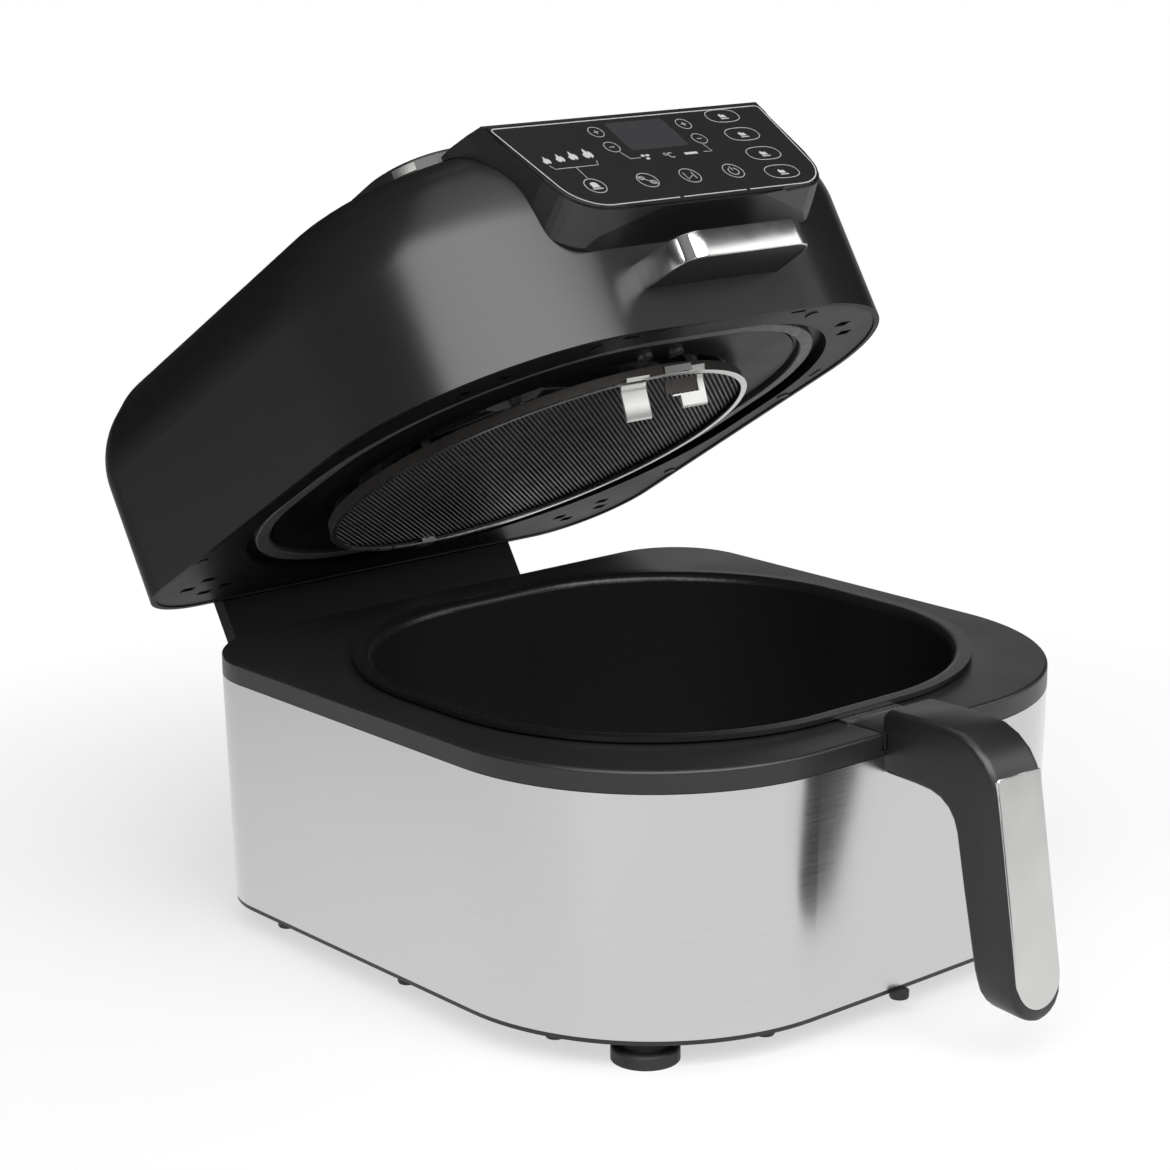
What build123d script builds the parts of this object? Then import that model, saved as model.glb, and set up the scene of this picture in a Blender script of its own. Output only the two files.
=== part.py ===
from build123d import *
import os
from math import cos, radians, sin, sqrt

os.makedirs("parts", exist_ok=True)

# Millimetres. +Z is up, the front faces -Y and the hinge is at +Y.
# Every piece is drawn with Y = 0 at the middle of the body, then moved by to_origin,
# so that the origin lies on the table under the middle of the whole object.
# The lid is modelled at rest as it stands open.
overall_middle_y = 10.71
to_origin = Location((0, -overall_middle_y, 0))

# Body in plan: tight back corners, wide front corners and a slightly bowed front
body_width = 300.0
body_depth = 296.0
back_corner = 40.0
front_corner = 101.0
front_bow = 2.0

# Heights of the base
foot_height = 11.5
plate_thickness = 2.0
band_height = 103.9
band_draft = 2.5
band_thickness = 1.0
rim_height = 9.3
rim_wall = 2.6
rim_edge = 1.5
seat_gap = 0.3
plate_bottom = foot_height
band_bottom = plate_bottom + plate_thickness
rim_bottom = band_bottom + band_height
rim_top = rim_bottom + rim_height

# Feet under the base plate
foot_radius = 14.2
foot_x = 106.0
foot_front_y = -108.5
foot_back_y = 108.0
stud_radius = 4.0
stud_height = 2.2
stud_inset = 7.5

# Pot: a rounded square with a flat flange
flange_width = 261.6
flange_depth = 249.2
flange_corner = 108.0
pot_centre_y = -2.2
flange_ledge = 7.0
flange_thickness = 2.0
flange_rise = 3.3
flange_bend = 4.0
pot_wall = 1.6
pot_depth = 103.0
pot_draft = 6.0
pot_floor_radius = 20.0
flange_top = rim_top + flange_rise
flange_bottom = flange_top - flange_thickness
pot_bottom = flange_top - pot_depth
pot_front = pot_centre_y - flange_depth / 2

# Liner that the pot hangs in
liner_clearance = 4.0
liner_wall = 1.0
liner_floor = band_bottom + 3.0
liner_ledge = 9.0

# Pot handle, seen from the side
handle_width = 28.4
handle_top = rim_top + 9.8
handle_underside = rim_top - 18.7
handle_foot = 21.5
handle_reach = 224.5
handle_lean = 9.5
handle_bar = 21.0
handle_taper = 2.0
handle_clear = 1.5
handle_bevel = 3.5
notch_clearance = 1.2
notch_floor = 2.0
insert_width = 25.4
insert_thickness = 1.2
insert_top = rim_top - 6.0
insert_drop = 4.0

# Bracket between pot and handle
bracket_thickness = 1.5
bracket_width = 33.0
bracket_tab = 26.0
bracket_drop = 22.0
bracket_reach = 10.5

# Hinge behind the body
hinge_setback = 25.1
hinge_height = 19.3
open_angle = 31.7
lid_gap = 1.0
pin_radius = 4.0
pin_clearance = 0.06
knuckle_radius = 11.0
lug_inner = 60.0
lug_width = 12.0
lug_gap = 0.6
arm_width = 176.0
arm_top_width = 171.0
arm_thickness = 8.0
arm_gap = 2.6
arm_rise = 52.0
damper_radius = 7.5
damper_length = 34.0
lug_centre = lug_inner + lug_width / 2
lug_root_y = body_depth / 2 - 22.0
foot_plate_width = 30.0
foot_plate_depth = 15.0
foot_plate_height = 3.0
bracket_bolt_x = 10.5
bracket_bolt_y = lug_root_y + foot_plate_depth / 2
hinge_y = body_depth / 2 + hinge_setback
lid_bottom = rim_top + lid_gap

# Lid shell
lid_inset = 2.5
lid_back_corner = 45.5
lid_crease = 75.0
lid_shoulder = 27.0
shoulder_round = 33.0
crease_round = 42.0
lid_wall = 2.6
lid_height = lid_crease + lid_shoulder
shoulder_miter = sqrt(2) - 1
lid_bow = 1.0
lid_back_y = body_depth / 2 + 0.8
lid_front_y = -body_depth / 2 + 1.4
lid_front_corner = front_corner - lid_inset / 2

# Underside of the lid
under_thickness = 2.5
under_recess = 0.6
groove_margin = 4.0
groove_depth = 5.0
gasket_inset = 1.5
gasket_width = 6.5
gasket_lift = 0.4
mouth_inset = 10.0

# Cooking head
dish_radius = 95.0
dish_height = 46.0
dish_wall = 0.8
dish_flange = 8.0
coil_radius = 82.0
coil_pitch = 17.0
coil_tube = 3.2
coil_height = 17.0
fan_radius = 74.0
fan_height = 28.0
blade_height = 13.0
blade_count = 9
shaft_radius = 3.0
shaft_hole = 5.0
motor_radius = 30.0
motor_length = 30.0
motor_lift = 7.0
cooling_fan_radius = 34.0
cooling_blade_height = 6.0

# Guard below the fan
guard_radius = 100.5
guard_tube = 1.6
guard_height = -2.2
mesh_thickness = 0.8
mesh_pitch = 7.0
mesh_slot = 3.6
clip_width = 14.0
clip_spacing = 32.0
clip_drop = 22.0
clip_thickness = 1.0
clip_y = -94.0

# Control panel
panel_tilt = 60.2
panel_top_y = lid_front_y + 12.0
panel_top_height = 102.6
panel_length = 66.0
panel_top_half = 79.6
panel_low_half = 75.2
panel_corner = 19.0
panel_low_height = panel_top_height - panel_length * sin(radians(panel_tilt))
panel_low_y = panel_top_y - panel_length * cos(radians(panel_tilt))
glass_margin = 1.6
glass_thickness = 1.5
glass_proud = 0.3
skirt_depth = 20.3
skirt_drop = 8.0
housing_wall = 3.0
panel_pocket = 9.0

# Grip on the front of the lid
grip_half = 40.0
grip_front_half = 36.5
grip_reach = 31.0
grip_round = 9.0
grip_bottom = 17.6
grip_height = 11.6
trim_thickness = 1.2

# Top cap
cap_half_width = body_width / 2 - 53.0
cap_front_y = lid_front_y + 41.6
cap_back_y = lid_back_y - 40.8
cap_corner = 31.0
cap_height = 6.2
cap_trim_height = 4.4
cap_trim_thickness = 0.8
cap_trim_start = 205.0
cap_trim_end = 243.0
vent_slot = 3.0
vent_pitch = 7.0

# Small fasteners
screw_radius = 3.5
screw_length = 8.0
screw_clearance = 0.1


def plan(half_width, back_y, front_y, back_radius, front_radius, bow):
    """Outline of the body or of the lid, symmetric about X = 0."""
    with BuildSketch() as shape:
        with BuildLine():
            back = Line((half_width, back_y), (-half_width, back_y))
            left = Line(back @ 1, (-half_width, front_y))
            front = ThreePointArc(left @ 1, (0, front_y - bow), (half_width, front_y))
            Line(front @ 1, back @ 0)
        make_face()
        fillet(shape.vertices().group_by(Axis.Y)[-1], radius=back_radius)
        fillet(shape.vertices().group_by(Axis.Y)[0], radius=front_radius)
    return shape.sketch


def body_plan(inset=0.0):
    return plan(
        body_width / 2 - inset,
        body_depth / 2 - inset,
        -body_depth / 2 + inset,
        back_corner - inset,
        front_corner - inset,
        front_bow,
    )


def lid_plan(inset=0.0):
    return plan(
        body_width / 2 - lid_inset - inset,
        lid_back_y - inset,
        lid_front_y + inset,
        lid_back_corner - inset,
        lid_front_corner - inset,
        lid_bow,
    )


def pot_plan(inset=0.0):
    """Outline of the pot's flange, drawn in by inset."""
    with BuildSketch() as shape:
        with Locations((0, pot_centre_y)):
            RectangleRounded(
                flange_width - 2 * inset,
                flange_depth - 2 * inset,
                flange_corner - inset,
            )
    return shape.sketch


# The lid's own frame: its origin is the middle of the lid's lower edge, z is the lid's height
open_turn = radians(open_angle)
lid_arm_y = -hinge_y
lid_arm_z = lid_bottom - hinge_height
lid_origin_y = hinge_y + lid_arm_y * cos(open_turn) + lid_arm_z * sin(open_turn)
lid_origin_z = hinge_height - lid_arm_y * sin(open_turn) + lid_arm_z * cos(open_turn)
lid_frame = Plane(
    origin=(0, lid_origin_y, lid_origin_z),
    x_dir=(1, 0, 0),
    z_dir=(0, sin(open_turn), cos(open_turn)),
)
lid_up = Axis(lid_frame.origin, lid_frame.z_dir)
lid_forward = Axis(lid_frame.origin, lid_frame.y_dir)
lid_profile = Plane(origin=lid_frame.origin, x_dir=lid_frame.x_dir, z_dir=-lid_frame.y_dir)
side_profile = Plane(origin=lid_frame.origin, x_dir=lid_frame.y_dir, z_dir=lid_frame.x_dir)


# Base plate with a low lip that locates the steel band
lip_height = 6.0
lip_wall = 1.6
with BuildPart() as base_plate:
    with BuildSketch(Plane.XY.offset(plate_bottom)):
        add(body_plan(band_draft + seat_gap))
    extrude(amount=plate_thickness - seat_gap)
    with BuildSketch(Plane.XY.offset(plate_bottom)):
        add(body_plan(band_draft + band_thickness + seat_gap))
        add(body_plan(band_draft + band_thickness + seat_gap + lip_wall), mode=Mode.SUBTRACT)
    extrude(amount=plate_thickness + lip_height)
    with BuildSketch(Plane.XY.offset(plate_bottom)):
        with Locations((foot_x, foot_front_y), (-foot_x, foot_front_y)):
            Circle(screw_radius)
        with Locations((foot_x, foot_back_y), (-foot_x, foot_back_y)):
            Circle(screw_radius)
        with Locations((lug_centre, bracket_bolt_y), (-lug_centre, bracket_bolt_y)):
            with GridLocations(2 * bracket_bolt_x, 0, 2, 1):
                Circle(2.0)
    extrude(amount=plate_thickness, mode=Mode.SUBTRACT)
    with BuildSketch(Plane.XY.offset(band_bottom - seat_gap)):
        with Locations((lug_centre, body_depth / 2), (-lug_centre, body_depth / 2)):
            Rectangle(lug_width + 2 * lug_gap, 20)
    extrude(amount=lip_height + 1, mode=Mode.SUBTRACT)
base_plate.part.label = "base_plate"
export_step(base_plate.part.moved(to_origin), "parts/base_plate.step")

# Four round rubber feet, each a stem under a wider pad
pad_height = 6.0
stem_radius = foot_radius - 4.0
with BuildPart() as rubber_feet:
    with BuildSketch() as pads:
        with Locations((foot_x, foot_front_y), (-foot_x, foot_front_y)):
            Circle(foot_radius)
        with Locations((foot_x, foot_back_y), (-foot_x, foot_back_y)):
            Circle(foot_radius)
    extrude(amount=pad_height)
    fillet(rubber_feet.faces().filter_by(Axis.Z).sort_by(Axis.Z)[-4:].edges(), radius=1.5)
    with BuildSketch(Plane.XY.offset(pad_height)):
        with Locations((foot_x, foot_front_y), (-foot_x, foot_front_y)):
            Circle(stem_radius)
        with Locations((foot_x, foot_back_y), (-foot_x, foot_back_y)):
            Circle(stem_radius)
    extrude(amount=foot_height - pad_height)
    with BuildSketch():
        with Locations((foot_x, foot_front_y), (-foot_x, foot_front_y)):
            Circle(screw_radius + 1.5)
        with Locations((foot_x, foot_back_y), (-foot_x, foot_back_y)):
            Circle(screw_radius + 1.5)
    extrude(amount=foot_height - 2.5, mode=Mode.SUBTRACT)
    with BuildSketch():
        with Locations((foot_x, foot_front_y), (-foot_x, foot_front_y)):
            Circle(screw_radius - 1.0)
        with Locations((foot_x, foot_back_y), (-foot_x, foot_back_y)):
            Circle(screw_radius - 1.0)
    extrude(amount=foot_height, mode=Mode.SUBTRACT)
rubber_feet.part.label = "rubber_feet"
export_step(rubber_feet.part.moved(to_origin), "parts/rubber_feet.step")

# One screw up through each foot into the base plate
with BuildPart() as foot_screws:
    with BuildSketch(Plane.XY.offset(foot_height - 4.5)):
        with Locations((foot_x, foot_front_y), (-foot_x, foot_front_y)):
            Circle(screw_radius + 1.0)
        with Locations((foot_x, foot_back_y), (-foot_x, foot_back_y)):
            Circle(screw_radius + 1.0)
    extrude(amount=2.0)
    with BuildSketch(Plane.XY.offset(foot_height - 2.5)):
        with Locations((foot_x, foot_front_y), (-foot_x, foot_front_y)):
            Circle(screw_radius - 1.0 - screw_clearance)
        with Locations((foot_x, foot_back_y), (-foot_x, foot_back_y)):
            Circle(screw_radius - 1.0 - screw_clearance)
    extrude(amount=screw_length - 1.0)
foot_screws.part.label = "foot_screws"
export_step(foot_screws.part.moved(to_origin), "parts/foot_screws.step")

# Studs along the edge that hold the band to the plate from below
stud_side = body_width / 2 - stud_inset
stud_front = -body_depth / 2 + stud_inset - 1.0
stud_corner_x = 133.0
stud_corner_y = -84.0
stud_spots = [(stud_side, 88.0), (stud_side, 1.0), (stud_corner_x, stud_corner_y), (70.0, stud_front + 8.0)]
with BuildPart() as plate_studs:
    with BuildSketch(Plane.XY.offset(plate_bottom - stud_height)):
        for spot_x, spot_y in stud_spots:
            with Locations((spot_x, spot_y), (-spot_x, spot_y)):
                Circle(stud_radius)
        with Locations((0, stud_front)):
            Circle(stud_radius)
    extrude(amount=stud_height)
    fillet(plate_studs.faces().sort_by(Axis.Z)[:9].edges(), radius=0.9)
plate_studs.part.label = "plate_studs"
export_step(plate_studs.part.moved(to_origin), "parts/plate_studs.step")

# Drawn steel band, a little narrower at the foot, with two slots at the back for the hinge lugs
slot_top = hinge_height + knuckle_radius + 2.0
with BuildPart() as outer_band:
    with BuildSketch(Plane.XY.offset(band_bottom)):
        add(body_plan(band_draft))
    with BuildSketch(Plane.XY.offset(rim_bottom - seat_gap)):
        add(body_plan())
    loft(ruled=True)
    with BuildSketch(Plane.XY.offset(band_bottom)):
        add(body_plan(band_draft + band_thickness))
    with BuildSketch(Plane.XY.offset(rim_bottom - seat_gap)):
        add(body_plan(band_thickness))
    loft(ruled=True, mode=Mode.SUBTRACT)
    with BuildSketch(Plane.XZ.offset(-body_depth / 2 - 5)):
        with Locations((lug_centre, band_bottom), (-lug_centre, band_bottom)):
            Rectangle(lug_width + 2, 2 * (slot_top - band_bottom))
    extrude(amount=20, mode=Mode.SUBTRACT)
outer_band.part.label = "outer_band"
export_step(outer_band.part.moved(to_origin), "parts/outer_band.step")

# Moulded top frame: a channel that is open below, with a notch in front for the pot's handle
bead_width = 3.0
rim_opening = flange_ledge - notch_clearance
notch_half = handle_width / 2 + notch_clearance
notch_rear = pot_front + 12.0
tongue_front = pot_front - 4.4
bracket_top = flange_bottom - seat_gap
tab_y = pot_front + flange_ledge - seat_gap
tab_slot_depth = notch_rear - tab_y + bracket_thickness + 0.6
with BuildPart() as top_rim:
    with BuildSketch(Plane.XY.offset(rim_bottom)):
        add(body_plan())
    extrude(amount=rim_height)
    fillet(top_rim.faces().sort_by(Axis.Z)[-1].edges(), radius=rim_edge)
    with BuildSketch(Plane.XY.offset(rim_top)):
        add(pot_plan(rim_opening - bead_width))
    extrude(amount=flange_bottom - seat_gap - rim_top)
    with BuildSketch(Plane.XY.offset(rim_bottom)):
        add(pot_plan(rim_opening))
    extrude(amount=rim_height + flange_rise, mode=Mode.SUBTRACT)
    with BuildSketch(Plane.XY.offset(rim_bottom)):
        add(body_plan(rim_wall))
        add(pot_plan(rim_opening - rim_wall), mode=Mode.SUBTRACT)
        with Locations((0, -body_depth / 2)):
            Rectangle(2 * notch_half + 2 * rim_wall, 80, mode=Mode.SUBTRACT)
    extrude(amount=rim_height - rim_wall, mode=Mode.SUBTRACT)
    with BuildSketch(Plane.XY.offset(rim_bottom + notch_floor)):
        with Locations((0, notch_rear)):
            Rectangle(2 * notch_half, 60, align=(Align.CENTER, Align.MAX))
    extrude(amount=rim_height + flange_rise, mode=Mode.SUBTRACT)
    with BuildSketch(Plane.XY.offset(rim_top - bracket_thickness)):
        with Locations((0, notch_rear)):
            Rectangle(
                bracket_width + 2 * notch_clearance,
                notch_rear - tongue_front + notch_clearance,
                align=(Align.CENTER, Align.MAX),
            )
    extrude(amount=rim_height, mode=Mode.SUBTRACT)
    with BuildSketch(Plane.XY.offset(rim_bottom)):
        with Locations((0, notch_rear)):
            Rectangle(bracket_tab + 2 * notch_clearance, tab_slot_depth, align=(Align.CENTER, Align.MAX))
    extrude(amount=rim_height, mode=Mode.SUBTRACT)
top_rim.part.label = "top_rim"
export_step(top_rim.part.moved(to_origin), "parts/top_rim.step")

# Sheet liner: a deep bowl that hangs from the top frame round the pot
liner_outset = liner_clearance + liner_wall
with BuildPart() as inner_liner:
    with BuildSketch(Plane.XY.offset(liner_floor)):
        add(pot_plan(flange_ledge + pot_draft - liner_outset))
    with BuildSketch(Plane.XY.offset(rim_bottom - seat_gap)):
        add(pot_plan(flange_ledge - liner_outset))
    loft(ruled=True)
    with BuildSketch(Plane.XY.offset(rim_bottom - seat_gap)):
        add(pot_plan(flange_ledge - liner_outset - liner_ledge))
    extrude(amount=-liner_wall)
    with BuildSketch(Plane.XY.offset(liner_floor + liner_wall)):
        add(pot_plan(flange_ledge + pot_draft - liner_clearance))
    with BuildSketch(Plane.XY.offset(rim_bottom - seat_gap)):
        add(pot_plan(flange_ledge - liner_clearance))
    loft(ruled=True, mode=Mode.SUBTRACT)
inner_liner.part.label = "inner_liner"
export_step(inner_liner.part.moved(to_origin), "parts/inner_liner.step")

# Cast cooking pot: drafted wall, round floor edge and a flange with a soft inner bend
with BuildPart() as pot_blank:
    with BuildSketch(Plane.XY.offset(pot_bottom)):
        add(pot_plan(flange_ledge + pot_draft))
    with BuildSketch(Plane.XY.offset(flange_top)):
        add(pot_plan(flange_ledge))
    loft(ruled=True)
    fillet(pot_blank.faces().sort_by(Axis.Z)[0].edges(), radius=pot_floor_radius)
    with BuildSketch(Plane.XY.offset(flange_bottom)):
        add(pot_plan())
    extrude(amount=flange_thickness)
with BuildPart() as pot_hollow:
    with BuildSketch(Plane.XY.offset(pot_bottom + pot_wall)):
        add(pot_plan(flange_ledge + pot_draft + pot_wall))
    with BuildSketch(Plane.XY.offset(flange_top)):
        add(pot_plan(flange_ledge + pot_wall))
    loft(ruled=True)
    fillet(pot_hollow.faces().sort_by(Axis.Z)[0].edges(), radius=pot_floor_radius - pot_wall)
with BuildPart() as pot:
    add(pot_blank.part)
    add(pot_hollow.part, mode=Mode.SUBTRACT)
    inner_edge = pot.faces().filter_by(Axis.Z).sort_by(Axis.Z)[-1].inner_wires()[0].edges()
    fillet(inner_edge, radius=flange_bend)
pot.part.label = "pot"
export_step(pot.part.moved(to_origin), "parts/pot.step")

# Bent steel bracket: a tab on the pot's wall and a tongue over the root of the handle
tongue_bottom = bracket_top - bracket_thickness
with BuildPart() as pot_bracket:
    with BuildSketch(Plane.XY.offset(tongue_bottom)):
        with Locations((0, tab_y)):
            Rectangle(bracket_width, tab_y - tongue_front, align=(Align.CENTER, Align.MAX))
    extrude(amount=bracket_thickness)
    with BuildSketch(Plane.XY.offset(bracket_top)):
        with Locations((0, tab_y)):
            Rectangle(bracket_tab, bracket_thickness, align=(Align.CENTER, Align.MAX))
    extrude(amount=-bracket_drop)
    with BuildSketch(Plane.XY.offset(tongue_bottom)):
        with Locations((handle_width / 4, tab_y - 6), (-handle_width / 4, tab_y - 6)):
            Circle(2.0)
    extrude(amount=bracket_thickness, mode=Mode.SUBTRACT)
pot_bracket.part.label = "pot_bracket"
export_step(pot_bracket.part.moved(to_origin), "parts/pot_bracket.step")

# Moulded handle: a root in the notch, an arm over the rim and a leaning bar with a round foot
bar_lean = radians(handle_lean)
arm_front = -body_depth / 2 - front_bow - handle_clear
root_rear = tab_y - bracket_thickness - seat_gap
root_top = tongue_bottom - seat_gap
root_bottom = rim_bottom + notch_floor + seat_gap
bar_height = handle_top - handle_foot
bar_slope = sin(bar_lean) / cos(bar_lean)
front_top_y = -handle_reach + (handle_top - handle_foot) * bar_slope
with BuildPart() as handle_blank:
    with BuildSketch(Plane.YZ):
        with BuildLine():
            low_root = Line((root_rear, root_top), (root_rear, root_bottom))
            under_root = Line(low_root @ 1, (arm_front, root_bottom))
            drop = Line(under_root @ 1, (arm_front, handle_underside))
            under_arm = Line(drop @ 1, (front_top_y + handle_bar - handle_taper, handle_underside))
            inner_bar = Line(under_arm @ 1, (-handle_reach + handle_bar, handle_foot))
            foot = Line(inner_bar @ 1, (-handle_reach, handle_foot))
            front_bar = Line(foot @ 1, (front_top_y, handle_top))
            top_arm = Line(front_bar @ 1, (arm_front - 3.0, handle_top))
            step = Line(top_arm @ 1, (arm_front, rim_top + seat_gap))
            over_rim = Line(step @ 1, (tongue_front - seat_gap, rim_top + seat_gap))
            tongue_end = Line(over_rim @ 1, (tongue_front - seat_gap, root_top))
            Line(tongue_end @ 1, low_root @ 0)
        make_face()
    extrude(amount=handle_width / 2, both=True)
    cross_edges = handle_blank.edges().filter_by(Axis.X)
    outer_bend = cross_edges.sort_by_distance((0, front_top_y, handle_top))[0]
    inner_bend = cross_edges.sort_by_distance((0, front_top_y + handle_bar - handle_taper, handle_underside))[0]
    fillet(outer_bend, radius=26)
    fillet(inner_bend, radius=15)
    foot_face = handle_blank.faces().filter_by(Axis.Z).sort_by(Axis.Z)[0]
    fillet(foot_face.edges().filter_by(Axis.Y), radius=handle_width / 2 - 1.5)

# Plane of the bar's front face, with its origin at the top edge of the steel insert
insert_y = -handle_reach + (insert_top - handle_foot) * bar_slope
front_plane = Plane(
    origin=(0, insert_y, insert_top),
    x_dir=(1, 0, 0),
    z_dir=(0, -cos(bar_lean), sin(bar_lean)),
)
insert_length = (insert_top - handle_foot - insert_drop) / cos(bar_lean)


def insert_plan(margin):
    """Straight top, round foot; the local y axis points up the bar."""
    radius = insert_width / 2 + margin
    with BuildSketch() as shape:
        with Locations((0, -(insert_length - insert_width / 2) / 2)):
            Rectangle(2 * radius, insert_length - insert_width / 2 + 2 * margin)
        with Locations((0, -(insert_length - insert_width / 2))):
            Circle(radius)
    return shape.sketch


with BuildPart() as pot_handle:
    add(handle_blank.part)
    with BuildSketch(front_plane):
        add(insert_plan(0.15))
    extrude(amount=-insert_thickness, mode=Mode.SUBTRACT)
    with BuildSketch(Plane.XY.offset(root_bottom)):
        with Locations((handle_width / 4, tab_y - 6), (-handle_width / 4, tab_y - 6)):
            Circle(2.0)
    extrude(amount=root_top - root_bottom, mode=Mode.SUBTRACT)
pot_handle.part.label = "pot_handle"
export_step(pot_handle.part.moved(to_origin), "parts/pot_handle.step")

# Steel insert let into the front of the bar
with BuildPart() as handle_insert:
    with BuildSketch(front_plane.offset(-insert_thickness)):
        add(insert_plan(0.0))
    extrude(amount=insert_thickness + 0.3)
handle_insert.part.label = "handle_insert"
export_step(handle_insert.part.moved(to_origin), "parts/handle_insert.step")

# Two screws join the bracket's tongue to the handle's root
with BuildPart() as handle_screws:
    with BuildSketch(Plane.XY.offset(root_bottom + 0.2)):
        with Locations((handle_width / 4, tab_y - 6), (-handle_width / 4, tab_y - 6)):
            Circle(2.0 - screw_clearance)
    extrude(amount=bracket_top - root_bottom - 0.2)
handle_screws.part.label = "handle_screws"
export_step(handle_screws.part.moved(to_origin), "parts/handle_screws.step")

# Rear hinge brackets: a flat foot on the base plate and a lug that carries the pin
with BuildPart() as hinge_bracket:
    with BuildSketch(Plane.YZ.offset(lug_inner)):
        with BuildLine():
            Polyline(
                (lug_root_y, band_bottom),
                (lug_root_y, band_bottom + foot_plate_height),
                (body_depth / 2 - 12, slot_top - 4),
                (body_depth / 2 + 3, slot_top - 4),
                (hinge_y, hinge_height + knuckle_radius),
                (hinge_y, hinge_height - knuckle_radius),
                (body_depth / 2 + 2, band_bottom),
                close=True,
            )
        make_face()
        with Locations((hinge_y, hinge_height)):
            Circle(knuckle_radius)
            Circle(pin_radius + pin_clearance, mode=Mode.SUBTRACT)
    extrude(amount=lug_width)
    with BuildSketch(Plane.XY.offset(band_bottom)):
        with Locations((lug_centre, lug_root_y)):
            Rectangle(foot_plate_width, foot_plate_depth, align=(Align.CENTER, Align.MIN))
    extrude(amount=foot_plate_height)
    with BuildSketch(Plane.XY.offset(band_bottom)):
        with Locations((lug_centre, bracket_bolt_y)):
            with GridLocations(2 * bracket_bolt_x, 0, 2, 1):
                Circle(2.0)
    extrude(amount=foot_plate_height, mode=Mode.SUBTRACT)
    mirror(about=Plane.YZ)
hinge_bracket.part.label = "hinge_bracket"
export_step(hinge_bracket.part.moved(to_origin), "parts/hinge_bracket.step")

# Hinge pin through both lugs and all knuckles
with BuildPart() as hinge_pin:
    with BuildSketch(Plane.YZ.offset(-arm_width / 2 + 1)):
        with Locations((hinge_y, hinge_height)):
            Circle(pin_radius)
    extrude(amount=arm_width - 2)
    chamfer(hinge_pin.edges().filter_by(GeomType.CIRCLE), length=0.6)
hinge_pin.part.label = "hinge_pin"
export_step(hinge_pin.part.moved(to_origin), "parts/hinge_pin.step")

# Hinge arm: a wide plate behind the body that swells into knuckles round the pin
arm_front_y = body_depth / 2 + arm_gap
arm_back_y = arm_front_y + arm_thickness
closed_pin_height = hinge_height - lid_bottom
damper_inner = lug_inner - lug_gap - damper_length - 4.0
with BuildPart() as hinge_arm:
    with BuildSketch(side_profile):
        with BuildLine():
            top = Line((lid_back_y + seat_gap, arm_rise), (arm_back_y, arm_rise))
            back = Line(top @ 1, (arm_back_y, closed_pin_height + 46))
            flare = Line(back @ 1, (hinge_y + knuckle_radius, closed_pin_height + 8))
            turn = Line(flare @ 1, (hinge_y + knuckle_radius, closed_pin_height))
            cross = Line(turn @ 1, (hinge_y - knuckle_radius, closed_pin_height))
            toe = Line(cross @ 1, (arm_front_y, closed_pin_height + 14))
            front = Line(toe @ 1, (arm_front_y, 1.5))
            ledge = Line(front @ 1, (lid_back_y + seat_gap, 1.5))
            Line(ledge @ 1, top @ 0)
        make_face()
        with Locations((hinge_y, closed_pin_height)):
            Circle(knuckle_radius)
    extrude(amount=arm_width / 2, both=True)
    back_bend = side_profile.from_local_coords((arm_back_y, closed_pin_height + 46, 0))
    fillet(hinge_arm.edges().filter_by(Axis.X).sort_by_distance(back_bend)[0], radius=30)
    top_face = hinge_arm.faces().sort_by(lid_up)[-1]
    fillet(top_face.edges().filter_by(lid_forward), radius=5)
    with BuildSketch(side_profile):
        with Locations((hinge_y, closed_pin_height)):
            Circle(pin_radius + pin_clearance)
    extrude(amount=arm_width, both=True, mode=Mode.SUBTRACT)
    with BuildSketch(side_profile.offset(lug_inner - lug_gap)):
        with BuildLine():
            Polyline(
                (hinge_y - 40, closed_pin_height - 20),
                (hinge_y - 40, closed_pin_height + 26),
                (hinge_y + 1, closed_pin_height + 17),
                (hinge_y + 30, closed_pin_height + 17),
                (hinge_y + 30, closed_pin_height - 20),
                close=True,
            )
        make_face()
    slot = extrude(amount=lug_width + 2 * lug_gap, mode=Mode.SUBTRACT)
    mirror(slot, about=Plane.YZ, mode=Mode.SUBTRACT)
    with BuildSketch(side_profile.offset(damper_inner)):
        with Locations((hinge_y, closed_pin_height)):
            Circle(damper_radius + 0.3)
    bore = extrude(amount=damper_length + 0.6, mode=Mode.SUBTRACT)
    mirror(bore, about=Plane.YZ, mode=Mode.SUBTRACT)
hinge_arm.part.label = "hinge_arm"
export_step(hinge_arm.part.moved(to_origin), "parts/hinge_arm.step")

# Two friction cartridges round the pin, inside the middle knuckle
with BuildPart() as hinge_dampers:
    with BuildSketch(side_profile.offset(damper_inner + 0.3)):
        with Locations((hinge_y, closed_pin_height)):
            Circle(damper_radius)
            Circle(pin_radius + pin_clearance, mode=Mode.SUBTRACT)
    extrude(amount=damper_length)
    mirror(about=Plane.YZ)
hinge_dampers.part.label = "hinge_dampers"
export_step(hinge_dampers.part.moved(to_origin), "parts/hinge_dampers.step")

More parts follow.
